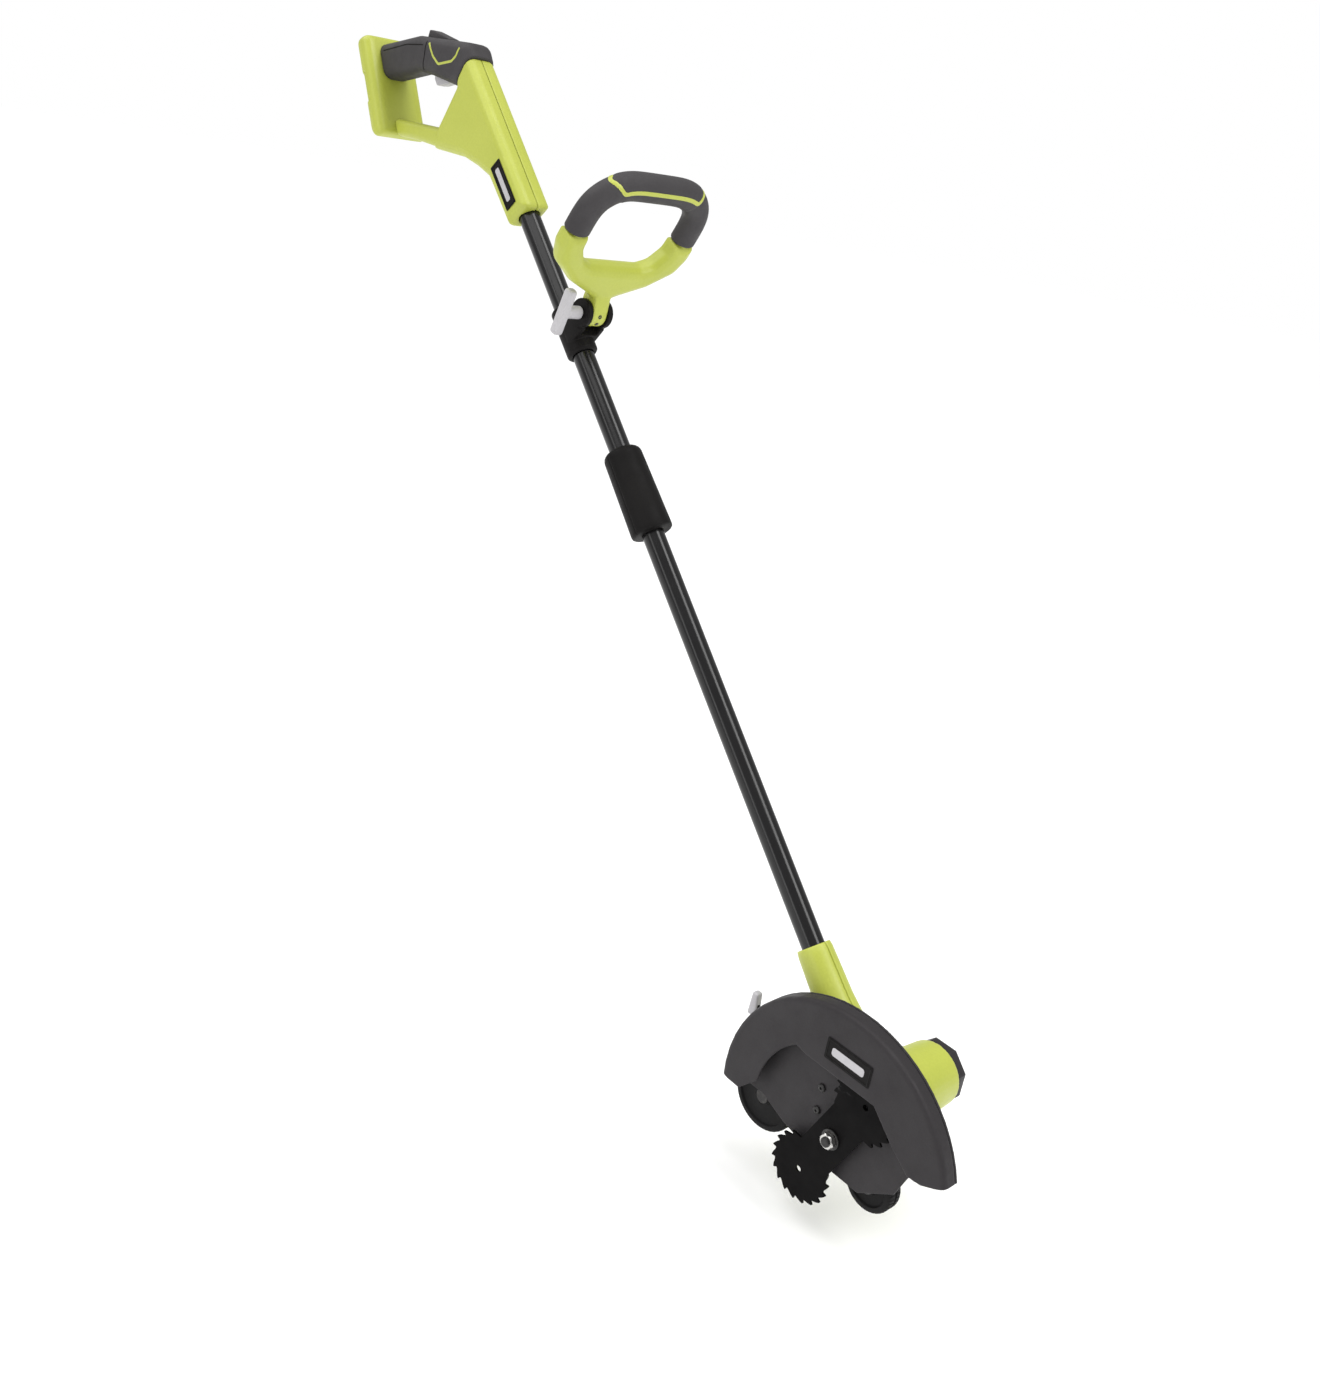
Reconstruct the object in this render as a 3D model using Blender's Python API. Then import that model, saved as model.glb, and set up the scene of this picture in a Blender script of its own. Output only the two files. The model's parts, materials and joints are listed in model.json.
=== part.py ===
"""Battery lawn edger: every physical piece as its own closed solid, in metres, +Z up.

Design coordinates are millimetres measured from the shaft foot, the point where the
shaft enters the gear housing: x ahead, y left, z up.  The shaft leans back from there.
The finished model is moved so that the middle of the rear grip is the world origin.
"""
import math

import bmesh
import bpy
from mathutils import Matrix, Vector

# ---------------------------------------------------------------- driving dimensions (mm)
MM = 0.001
GAP = 0.3                               # clearance between touching pieces
GRIP_CENTRE = Vector((-915.0, 0.0, 787.0))
LEAN = math.radians(45.0)               # shaft lean from the vertical

TUBE_R = 12.7
TUBE_BORE = 11.5
SHAFT_FOOT = -78.0                      # lowest point of the lower tube, along the shaft
SHAFT_SPLIT = 525.0
SHAFT_TOP = 960.0

BLADE_AXIS = (123.0, -131.5)            # x, z of the spindle
GEAR_MODULE = 1.15
GEAR_TEETH = 40
PINION_TEETH = 10
MOTOR_ANGLE = math.radians(75.0)        # direction from spindle to motor shaft
GEAR_CENTRES = GEAR_MODULE * (GEAR_TEETH + PINION_TEETH) / 2
MOTOR_AXIS = (BLADE_AXIS[0] + GEAR_CENTRES * math.cos(MOTOR_ANGLE),
              BLADE_AXIS[1] + GEAR_CENTRES * math.sin(MOTOR_ANGLE))

GUARD_CENTRE = (BLADE_AXIS[0] - 3.0, BLADE_AXIS[1] - 3.0)
GUARD_R = 141.5
GUARD_WALL = 3.0
GUARD_FACE_Y = -74.0                    # outer face, on the user's right
GUARD_BACK_Y = -57.0
PLATE_BACK_Y = -54.0
BLADE_Y = (-68.5, -66.0)
BLADE_END_OFFSET = 61.5                 # spindle to the middle of a blade end
BLADE_END_R = 37.5
BLADE_HOLE_OFFSET = 64.0
BLADE_NECK = 20.0                       # half width of the blade between its ends
BLADE_TOOTH = 4.0
BLADE_HEADING = math.radians(-116.0)

HOUSING_Y = -53.6                       # right side of the gear housing
DRUM_R = (28.3, 32.2)                   # round the spindle and round the motor shaft
GEAR_ROOM_R = (25.2, 29.4)              # the gear chamber inside the drum
BARREL_END_Y = 76.0
CAP_END_Y = 92.0
WALL = 2.6

FRONT_WHEEL = (164.0, -166.0)
FRONT_WHEEL_R = 28.0
REAR_WHEEL = (20.0, -160.0)
REAR_WHEEL_R = 39.0
WHEEL_Y = (-50.0, -31.0)
ARM_PIVOT = (90.0, -150.0)
ARM_Y = (-29.0, -25.0)
LEVER_TIP = (-33.0, -73.0)

PIVOT_ALONG = 736.0                     # front handle pivot, along and ahead of the shaft
PIVOT_AHEAD = 38.0
LOOP_TILT = math.radians(15.0)
LOOP_ALONG = 735.0
LOOP_JOIN = 140.0                       # height where base turns into grip

BODY_HALF = 21.0                        # half width of the rear handle body
GRIP_HALF = 22.0
GRIP_FULL_X = -780.0                    # where the grip has its full width
GRIP_TAPER = 0.16 / 185                 # share of the width lost for each mm towards the dock
SKIN = 4.5                              # thickness of the grip's soft cover
TRIGGER_PIN = (-810.0, 775.5)

DOCK_FOOT = Vector((-916.0, 0.0, 691.2))  # bottom of the dock's front face
DOCK_LEAN = math.radians(28.0)
DOCK_HALF = 37.0
DOCK_DEPTH = 27.0
DOCK_TALL = 132.0
DOCK_HEEL = (15.0, 20.0)                # chamfer at the dock's lower rear edge, (x, z) cut

# ---------------------------------------------------------------- colours (linear RGB)
PALETTE = {
    "lime": ((0.52, 0.63, 0.10), 0.45, 0.0),
    "grey": ((0.075, 0.072, 0.078), 0.60, 0.0),
    "black": ((0.012, 0.012, 0.013), 0.45, 0.0),
    "tube": ((0.008, 0.008, 0.009), 0.22, 0.0),
    "light": ((0.58, 0.57, 0.58), 0.40, 0.0),
    "steel": ((0.55, 0.55, 0.56), 0.30, 1.0),
    "blade": ((0.015, 0.015, 0.016), 0.40, 0.6),
    "copper": ((0.60, 0.28, 0.12), 0.35, 1.0),
    "board": ((0.03, 0.14, 0.05), 0.50, 0.0),
    "rubber": ((0.015, 0.015, 0.015), 0.85, 0.0),
}


# ---------------------------------------------------------------- frames
def frame(origin, x_axis, y_axis):
    """Matrix whose local x and y run along the two given unit axes."""
    x_dir = Vector(x_axis)
    y_dir = Vector(y_axis)
    z_dir = x_dir.cross(y_dir)
    rows = Matrix((x_dir, y_dir, z_dir)).transposed().to_4x4()
    rows.translation = Vector(origin)
    return rows


UP_SHAFT = Vector((-math.sin(LEAN), 0.0, math.cos(LEAN)))
AHEAD = Vector((math.cos(LEAN), 0.0, math.sin(LEAN)))
LEFT = Vector((0.0, 1.0, 0.0))
SHAFT = frame((0, 0, 0), AHEAD, LEFT)                       # z runs up the shaft
SIDE = Matrix.Identity(4)                                   # plain x, y, z
LOOP_UP = math.cos(LOOP_TILT) * AHEAD + math.sin(LOOP_TILT) * UP_SHAFT
LOOP = frame(LOOP_ALONG * UP_SHAFT, LEFT, LOOP_UP)          # x left, y up in the loop's plane
DOCK_UP = Vector((-math.sin(DOCK_LEAN), 0.0, math.cos(DOCK_LEAN)))
DOCK_BACK = Vector((-math.cos(DOCK_LEAN), 0.0, -math.sin(DOCK_LEAN)))
DOCK = frame(DOCK_FOOT, DOCK_BACK, -LEFT)                   # x out of the back, z up the dock
WORLD = Matrix.Scale(MM, 4) @ Matrix.Translation(-GRIP_CENTRE)


def axle(x, z):
    """Frame of an axis that runs to the left through (x, z)."""
    return frame((x, 0, z), (0, 0, 1), (1, 0, 0))


def on_shaft(along, ahead, left=0.0):
    return along * UP_SHAFT + ahead * AHEAD + left * LEFT


# ---------------------------------------------------------------- outlines (2-D)
def arc(cx, cy, radius, start, end, steps):
    """Points on an arc, angles in degrees, both ends included."""
    angles = [math.radians(start + (end - start) * i / steps) for i in range(steps + 1)]
    return [(cx + radius * math.cos(a), cy + radius * math.sin(a)) for a in angles]


def area(outline):
    pairs = zip(outline, outline[1:] + outline[:1])
    return sum(a[0] * b[1] - b[0] * a[1] for a, b in pairs) / 2


def counter_clockwise(outline):
    return list(outline) if area(outline) > 0 else list(reversed(outline))


def fillet(outline, radius, steps=4):
    """Round every corner of a polygon; radius is one number or one per corner."""
    radii = radius if isinstance(radius, (list, tuple)) else [radius] * len(outline)
    result = []
    for index, point in enumerate(outline):
        corner = Vector(point)
        before = (Vector(outline[index - 1]) - corner)
        after = (Vector(outline[(index + 1) % len(outline)]) - corner)
        half = before.angle(after) / 2
        reach = min(radii[index] / math.tan(half), 0.48 * before.length, 0.48 * after.length)
        if reach < 0.05 or half > math.radians(88):
            result.append(tuple(corner))
            continue
        start = corner + before.normalized() * reach
        end = corner + after.normalized() * reach
        for step in range(steps + 1):
            t = step / steps
            bend = (1 - t) ** 2 * start + 2 * t * (1 - t) * corner + t * t * end
            result.append(tuple(bend))
    return result


def shifted(points, distance):
    """Each corner of a counter-clockwise outline moved inwards along its mitre."""
    result = []
    for index, here in enumerate(points):
        edge_in = (here - points[index - 1]).normalized()
        edge_out = (points[(index + 1) % len(points)] - here).normalized()
        normal_in = Vector((-edge_in.y, edge_in.x))
        normal_out = Vector((-edge_out.y, edge_out.x))
        mitre = (normal_in + normal_out) / max(0.25, 1 + normal_in.dot(normal_out))
        result.append(here + mitre * distance)
    return result


def inset(outline, distance):
    """Move a counter-clockwise outline inwards; corners whose edge vanishes are joined."""
    points = [Vector(point) for point in outline]
    owner = list(range(len(points)))
    rounds = max(1, math.ceil(abs(distance) / 0.25))
    for _ in range(rounds):
        moved = shifted(points, distance / rounds)
        joined = []
        target = []
        for index, here in enumerate(moved):
            before = moved[index - 1] - here
            if index and before.dot(points[index - 1] - points[index]) <= 0:
                joined[-1] = (joined[-1] + here) / 2
            else:
                joined.append(here)
            target.append(len(joined) - 1)
        points = joined
        owner = [target[place] for place in owner]
    return [tuple(points[place]) for place in owner]


def around_circles(first, first_r, second, second_r, steps=12):
    """Outline of the belt round two circles."""
    start = Vector(first)
    line = Vector(second) - start
    heading = math.degrees(math.atan2(line.y, line.x))
    spread = math.degrees(math.acos((first_r - second_r) / line.length))
    near = arc(first[0], first[1], first_r, heading + spread, heading + 360 - spread, steps)
    far = arc(second[0], second[1], second_r, heading - spread, heading + spread, steps)
    return near + far


def gear_outline(teeth, module):
    """Simple straight-sided gear, four points to a tooth."""
    pitch = 2 * math.pi / teeth
    root = module * (teeth / 2 - 1.2)
    tip = module * (teeth / 2 + 0.9)
    points = []
    for tooth in range(teeth):
        base = tooth * pitch
        for share, radius in ((-0.27, root), (-0.12, tip), (0.12, tip), (0.27, root)):
            angle = base + share * pitch
            points.append((radius * math.cos(angle), radius * math.sin(angle)))
    return points


# ---------------------------------------------------------------- solids
def make_object(name, mesh_data, place=SIDE):
    """Object from a bmesh, placed by a frame and still in design millimetres."""
    mesh = bpy.data.meshes.new(name)
    bmesh.ops.remove_doubles(mesh_data, verts=mesh_data.verts, dist=0.01)
    bmesh.ops.recalc_face_normals(mesh_data, faces=mesh_data.faces)
    mesh_data.transform(place)
    mesh_data.to_mesh(mesh)
    mesh_data.free()
    item = bpy.data.objects.new(name, mesh)
    bpy.context.scene.collection.objects.link(item)
    return item


def loft(name, rings, place=SIDE, closed=False):
    """Skin a list of rings of 3-D points; capped at both ends unless closed."""
    data = bmesh.new()
    loops = [[data.verts.new(point) for point in ring] for ring in rings]
    count = len(rings[0])
    pairs = list(zip(loops, loops[1:]))
    if closed:
        pairs.append((loops[-1], loops[0]))
    for lower, upper in pairs:
        for index in range(count):
            after = (index + 1) % count
            data.faces.new((lower[index], lower[after], upper[after], upper[index]))
    if not closed:
        data.faces.new(list(reversed(loops[0])))
        data.faces.new(loops[-1])
    return make_object(name, data, place)


def slab(name, outline, low, high, rounding=(0, 0), steps=3, place=SIDE, plane="xz"):
    """Outline pulled from low to high, with rounded rims: (rounding at low, at high)."""
    shape = counter_clockwise(outline)
    turns = [math.pi / 2 * step / steps for step in range(steps + 1)]
    levels = [(low, 0.0)]
    if rounding[0]:
        levels = [(low + rounding[0] * (1 - math.cos(turn)), rounding[0] * (1 - math.sin(turn)))
                  for turn in turns]
    if rounding[1]:
        levels += [(high - rounding[1] * (1 - math.sin(turn)), rounding[1] * (1 - math.cos(turn)))
                   for turn in turns]
    else:
        levels.append((high, 0.0))
    rings = []
    for level, drop in levels:
        flat = inset(shape, drop) if drop > 1e-6 else shape
        if plane == "xz":
            rings.append([(px, level, pz) for px, pz in flat])
        else:
            rings.append([(px, py, level) for px, py in flat])
    return loft(name, rings, place)


def turned(name, profile, place, segments=32, ring=False):
    """Turn a profile of (radius, height) about the frame's z axis.

    A solid's profile starts and ends on the axis; a ring's profile closes on itself.
    """
    data = bmesh.new()
    columns = []
    for radius, height in profile:
        if radius == 0:
            columns.append([data.verts.new((0, 0, height))] * segments)
            continue
        spots = [(radius * math.cos(2 * math.pi * i / segments),
                  radius * math.sin(2 * math.pi * i / segments), height) for i in range(segments)]
        columns.append([data.verts.new(spot) for spot in spots])
    pairs = list(zip(columns, columns[1:]))
    if ring:
        pairs.append((columns[-1], columns[0]))
    for first, second in pairs:
        for index in range(segments):
            after = (index + 1) % segments
            corners = [first[index], first[after], second[after], second[index]]
            unique = list(dict.fromkeys(corners))
            if len(unique) > 2:
                data.faces.new(unique)
    return make_object(name, data, place)


def disc(name, radius, low, high, place, segments=32, chamfer=0.0):
    profile = [(0, low), (radius - chamfer, low), (radius, low + chamfer),
               (radius, high - chamfer), (radius - chamfer, high), (0, high)]
    if not chamfer:
        profile = [(0, low), (radius, low), (radius, high), (0, high)]
    return turned(name, profile, place, segments)


def collar(name, outer, inner, low, high, place, segments=32, chamfer=0.0):
    profile = [(inner, low), (outer - chamfer, low), (outer, low + chamfer),
               (outer, high - chamfer), (outer - chamfer, high), (inner, high)]
    if not chamfer:
        profile = [(inner, low), (outer, low), (outer, high), (inner, high)]
    return turned(name, profile, place, segments, ring=True)


def block(name, low, high, place=SIDE):
    corners = [(low[0], low[1]), (high[0], low[1]), (high[0], high[1]), (low[0], high[1])]
    return slab(name, corners, low[2], high[2], place=place, plane="xy")


def boolean(target, others, operation):
    """Apply a Boolean with each other object, which is used up."""
    for other in others:
        change = target.modifiers.new("change", "BOOLEAN")
        change.operation = operation
        change.solver = "EXACT"
        change.object = other
        bpy.context.view_layer.update()
        graph = bpy.context.evaluated_depsgraph_get()
        data = bmesh.new()
        data.from_object(target, graph)
        bmesh.ops.remove_doubles(data, verts=data.verts, dist=0.005)
        bmesh.ops.dissolve_degenerate(data, edges=data.edges, dist=0.005)
        target.modifiers.clear()
        data.to_mesh(target.data)
        data.free()
        bpy.data.objects.remove(other)
    return target


def cut(target, *others):
    return boolean(target, others, "DIFFERENCE")


def add(target, *others):
    return boolean(target, others, "UNION")


def keep(target, *others):
    return boolean(target, others, "INTERSECT")


MATERIALS = {}


def material(colour):
    if colour not in MATERIALS:
        tone, rough, metal = PALETTE[colour]
        paint = bpy.data.materials.new(colour)
        paint.use_nodes = True
        shader = paint.node_tree.nodes["Principled BSDF"]
        shader.inputs["Base Color"].default_value = (*tone, 1.0)
        shader.inputs["Roughness"].default_value = rough
        shader.inputs["Metallic"].default_value = metal
        MATERIALS[colour] = paint
    return MATERIALS[colour]


def finish(item, colour, pivot=None, sharp=32.0):
    """Move a solid to world metres with its origin on its joint, and give it a material."""
    mesh = item.data
    data = bmesh.new()
    data.from_mesh(mesh)
    bmesh.ops.remove_doubles(data, verts=data.verts, dist=0.01)
    bmesh.ops.dissolve_degenerate(data, edges=data.edges, dist=0.01)
    data.transform(WORLD)
    if pivot is not None:
        home = WORLD @ Vector(pivot)
        bmesh.ops.translate(data, verts=data.verts, vec=-home)
        item.location = home
    data.to_mesh(mesh)
    data.free()
    mesh.materials.clear()
    mesh.materials.append(material(colour))
    mesh.shade_smooth()
    mesh.set_sharp_from_angle(angle=math.radians(sharp))
    return item


def half_space(point, normal):
    """Large block on the side of a plane that its normal points to."""
    return block("half", (0, -150, -400), (400, 150, 400), frame(point, normal, LEFT))


def copy_of(item):
    twin = bpy.data.objects.new("twin", item.data.copy())
    bpy.context.scene.collection.objects.link(twin)
    return twin


def split_at_seam(whole, right_name, left_name):
    """Cut a casing into its right and left shells along the middle plane."""
    left = keep(copy_of(whole), block("left_side", (-1100, GAP / 2, -400), (400, 150, 1000)))
    right = keep(whole, block("right_side", (-1100, -150, -400), (400, -GAP / 2, 1000)))
    left.name = left_name
    right.name = right_name
    return right, left


def screw(name, spot, head_y, tip_y, shank_r, head_r, head_tall, pivot=None):
    """Pan-head screw along y; the head stands on head_y, away from the tip."""
    turn = 1 if head_y > tip_y else -1
    profile = [(0, tip_y), (shank_r * 0.5, tip_y), (shank_r, tip_y + 1.5 * turn), (shank_r, head_y),
               (head_r, head_y), (head_r, head_y + 0.6 * head_tall * turn),
               (head_r * 0.8, head_y + head_tall * turn), (0, head_y + head_tall * turn)]
    return finish(turned(name, profile, axle(*spot), 12), "steel", pivot)


# ---------------------------------------------------------------- rear handle
def rear_point(along, ahead):
    """(x, z) of a place given along and ahead of the shaft."""
    spot = on_shaft(along, ahead)
    return (spot.x, spot.z)


BODY_OUTLINE = fillet([
    rear_point(893, BODY_HALF), rear_point(1112, BODY_HALF), (-793, 780), (-787, 761.5),
    (-818.2, 709.5), (-822, 684.5), (-757, 682.5), (-725, 675.5), (-699, 667),
    rear_point(893, -BODY_HALF),
], [6, 1, 1, 1, 4, 1, 12, 14, 14, 6], 3)
GRIP_OUTLINE = fillet([
    (-1000, 791), (-885, 814), (-774, 813.5), (-760, 791.5), (-746, 777), (-768, 752),
    (-787.5, 761), (-805, 763.5), (-851, 769.5), (-880, 771), (-985, 747),
], [1, 30, 13, 8, 1, 1, 1, 10, 6, 20, 1], 3)
BAR_OUTLINE = [(-960, 710), (-800, 709.5), (-770, 700), (-775, 683), (-812, 685.5), (-872, 689),
               (-960, 689)]
SEAM_POINT = (-787.0, 0.0, 761.5)       # where the soft cover meets the bare body
SEAM_TURN = math.radians(-31.0)
SEAM_NORMAL = Vector((math.cos(SEAM_TURN), 0.0, math.sin(SEAM_TURN)))
SEAM_ALONG = Vector((-math.sin(SEAM_TURN), 0.0, math.cos(SEAM_TURN)))
HANDLE_SCREWS = ((-745, 744), (-778, 716), (-722, 698))


def seam(offset):
    return Vector(SEAM_POINT) + SEAM_NORMAL * offset


def seam_spot(offset, along):
    spot = seam(offset) + SEAM_ALONG * along
    return (spot.x, spot.z)


CAVITY_OUTLINE = [
    rear_point(912, 18.2), seam_spot(3, 36), seam_spot(3, -57), (-813, 689), (-757, 686.5),
    (-724.5, 679), (-697.5, 670), rear_point(912, -18.2),
]


def dock_plane(offset):
    return DOCK_FOOT - DOCK_BACK * offset


def grip_solid(name, drop, rounding, steps):
    """The grip's shape moved inwards by drop all round, and narrower towards the dock."""
    half = GRIP_HALF - drop
    outline = inset(counter_clockwise(GRIP_OUTLINE), drop)
    item = slab(name, outline, -half, half, (rounding, rounding), steps)
    for vertex in item.data.vertices:
        vertex.co.y *= 1 - GRIP_TAPER * (GRIP_FULL_X - vertex.co.x)
    return item


def handle_casing():
    body = slab("body", BODY_OUTLINE, -BODY_HALF, BODY_HALF, (10, 10), 3)
    body = cut(body, half_space(seam(-0.2), -SEAM_NORMAL))
    core = cut(grip_solid("core", SKIN, 9, 2), half_space(seam(12), SEAM_NORMAL))
    bar = slab("bar", fillet(BAR_OUTLINE, 2, 1), -13, 13, (7, 7), 3)
    whole = add(body, core, bar)
    whole = cut(whole, half_space(dock_plane(GAP), DOCK_BACK))

    inside = slab("inside", CAVITY_OUTLINE, -BODY_HALF + WALL, BODY_HALF - WALL, (6, 6), 2)
    grip_inside = cut(grip_solid("grip_inside", SKIN + WALL, 4, 1),
                      half_space(dock_plane(5), DOCK_BACK), half_space(seam(6), SEAM_NORMAL))
    whole = cut(whole, add(inside, grip_inside))
    whole = cut(whole, disc("bore", TUBE_R + GAP, 880, SHAFT_TOP + 10, SHAFT))
    for spot in HANDLE_SCREWS:
        post = disc("post", 4.6, -BODY_HALF + 1, BODY_HALF - 1, axle(*spot), 16)
        whole = add(whole, post)
    whole = cut(whole, trigger_slot(), lockout_slot(),
                disc("pin_hole", 1.8, -16.1, 16.1, axle(*TRIGGER_PIN), 12))
    sink = [(0, -13), (1.9, -13), (1.9, 15), (4.1, 15), (4.1, 26), (0, 26)]
    whole = cut(whole, *[turned("sink", sink, axle(*spot), 14) for spot in HANDLE_SCREWS])
    right, left = split_at_seam(whole, "handle_shell_right", "handle_shell_left")
    finish(right, "lime")
    finish(left, "lime")


def trigger_slot():
    return block("slot", (-857.5, -6.6, 740), (-800.5, 6.6, 790))


def lockout_slot():
    return block("slot", (-886, -8.2, 800), (-822, 8.2, 830))


def grip_cover():
    cover = cut(grip_solid("grip_cover", 0, 13, 4),
                half_space(seam(-0.2 - GAP), SEAM_NORMAL), half_space(dock_plane(GAP), DOCK_BACK))
    cover = cut(cover, grip_solid("hollow", SKIN - GAP, 9, 2), trigger_slot(), lockout_slot())
    finish(cover, "grey")


def trigger_parts():
    pin_x, pin_z = TRIGGER_PIN
    outline = fillet([(-852, 782), (-854, 766), (-847.5, 758.5), (-836, 759.5), (-813, 765.5),
                      (-804.5, 768.5), (-804, 778), (-812, 781)], [1, 4, 3, 6, 6, 2, 3, 3], 3)
    lever = slab("trigger", outline, -6, 6, (1.2, 1.2), 2)
    lever = cut(lever, disc("hole", 1.8, -10, 10, axle(pin_x, pin_z), 12))
    finish(lever, "light", (pin_x, 0, pin_z))
    finish(disc("trigger_pin", 1.45, -15.8, 15.8, axle(pin_x, pin_z), 12), "steel")
    spring_parts(pin_x, pin_z)

    wedge = slab("wedge", [(-876, 802.5), (-877, 813), (-874, 822), (-866, 822), (-828, 815),
                           (-825, 802.5)], -7.4, 7.4, (1.5, 1.5), 2)
    foot = slab("foot", [(-889, 800.5), (-819, 800.5), (-819, 803.6), (-889, 803.6)], -10, 10)
    button = add(wedge, foot)
    button.name = "lockout_button"
    finish(button, "grey", (-853, 0, 803))
    finish(block("trigger_switch", (-850, -8, 788), (-822, 8, 796)), "black")


def spring_parts(pin_x, pin_z):
    """Torsion spring round the trigger's pin, beside the trigger."""
    turns, around, wire, coil_r, start = 4, 10, 0.4, 2.5, 7.2
    pitch = 1.05
    rings = []
    for step in range(turns * around + 1):
        angle = 2 * math.pi * step / around
        centre = Vector((coil_r * math.cos(angle), coil_r * math.sin(angle),
                         start + pitch * step / around))
        out = Vector((math.cos(angle), math.sin(angle), 0))
        rings.append([centre + wire * (math.cos(turn) * out + math.sin(turn) * Vector((0, 0, 1)))
                      for turn in (0, math.pi / 2, math.pi, math.pi * 3 / 2)])
    finish(loft("trigger_spring", rings, axle(pin_x, pin_z)), "steel")


def battery_dock():
    corners = [(0, -DOCK_HALF), (DOCK_DEPTH, -DOCK_HALF), (DOCK_DEPTH, DOCK_HALF), (0, DOCK_HALF)]
    dock = slab("battery_dock", fillet(corners, 14, 4), 0, DOCK_TALL, (5, 8), 3, DOCK, "xy")
    pocket = slab("pocket", fillet([(9, -27), (40, -27), (40, 27), (9, 27)], [3, 1, 1, 3], 2),
                  24, 110, (3, 3), 2, DOCK, "xy")
    latches = [block("latch", (13, side * 34 - 2.5, 48), (40, side * 34 + 2.5, 86), DOCK)
               for side in (-1, 1)]
    heel_x, heel_z = DOCK_HEEL
    heel_normal = (heel_z * DOCK_BACK - (DOCK_DEPTH - heel_x) * DOCK_UP).normalized()
    heel = half_space(DOCK @ Vector((heel_x, 0, 0)), heel_normal)
    dock = cut(dock, pocket, *latches, heel)
    finish(dock, "lime")
    terminal = block("terminal", (9 + GAP, -11, 46), (20, 11, 90), DOCK)
    slits = [block("slit", (13, y - 1.2, 40), (30, y + 1.2, 84), DOCK) for y in (-6.5, 0, 6.5)]
    terminal = cut(terminal, *slits)
    terminal.name = "dock_terminals"
    finish(terminal, "black")


def handle_inner_parts():
    board = block("control_board", (-9, 8, 990), (16, 9.6, 1031), SHAFT)
    finish(board, "board")
    for index, spot in enumerate(HANDLE_SCREWS, 1):
        screw(f"handle_screw_{index}", spot, 15.3, -12.5, 1.5, 3.7, 2.4)
    label = [rear_point(907, -10), rear_point(907, 9.5), rear_point(968, 9.5), rear_point(968, -10)]
    plate = slab("handle_label", fillet(label, 1.5, 2), -BODY_HALF - GAP - 0.9, -BODY_HALF - GAP)
    finish(plate, "black")


# ---------------------------------------------------------------- shaft
def shaft_parts():
    lower = collar("lower_tube", TUBE_R, TUBE_BORE, SHAFT_FOOT, SHAFT_SPLIT - GAP / 2, SHAFT)
    upper = collar("upper_tube", TUBE_R, TUBE_BORE, SHAFT_SPLIT + GAP / 2, SHAFT_TOP, SHAFT)
    joiner = collar("tube_joiner", TUBE_BORE - GAP, 9.5, 468, 582, SHAFT)
    heights = {"upper": 556, "lower": 494}
    for which, tube in (("upper", upper), ("lower", lower)):
        spot = rear_point(heights[which], 0)
        for part in (tube, joiner):
            cut(part, disc("hole", 2.4, -20, 20, axle(*spot), 12))
        finish(disc(f"joiner_pin_{which}", 2.1, -TUBE_R, TUBE_R, axle(*spot), 12), "steel")
    finish(lower, "tube")
    finish(upper, "tube")
    finish(joiner, "steel")
    sleeve = turned("coupler_sleeve", [
        (TUBE_R + GAP, 474), (21, 474), (24.2, 476.5), (24.2, 480), (22.4, 571), (21.5, 573.5),
        (17.5, 577.5), (TUBE_R + GAP, 577.5)], SHAFT, 32, ring=True)
    finish(sleeve, "black")
    lead = disc("motor_lead", 2.1, -92, 984, SHAFT @ Matrix.Translation((5.6, 0, 0)), 8)
    finish(lead, "black")


# ---------------------------------------------------------------- front handle
def ellipse_ring(centre, tangent, radial, normal, count=16):
    """Ring of an oval section square to a path in the loop's plane."""
    out = Vector((tangent[1], -tangent[0]))
    ring = []
    for index in range(count):
        turn = 2 * math.pi * index / count
        flat = Vector(centre) + out * radial * math.cos(turn)
        ring.append((flat.x, flat.y, normal * math.sin(turn)))
    return ring


def bend(points, radius, steps):
    """Open path with rounded inner corners."""
    closed = fillet(points, [0] + [radius] * (len(points) - 2) + [0], steps)
    return [Vector(point) for point in closed]


def path_tangents(path):
    ends = [path[0]] + path + [path[-1]]
    return [(ends[i + 2] - ends[i]).normalized() for i in range(len(path))]


LOOP_PATH = ((-77.5, LOOP_JOIN), (-77.5, 180), (-50, 203), (50, 203), (77.5, 180),
             (77.5, LOOP_JOIN))
LOOP_RADIAL = 15.5
LOOP_NORMAL = 13.5
CORE_R = 9.5


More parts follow.
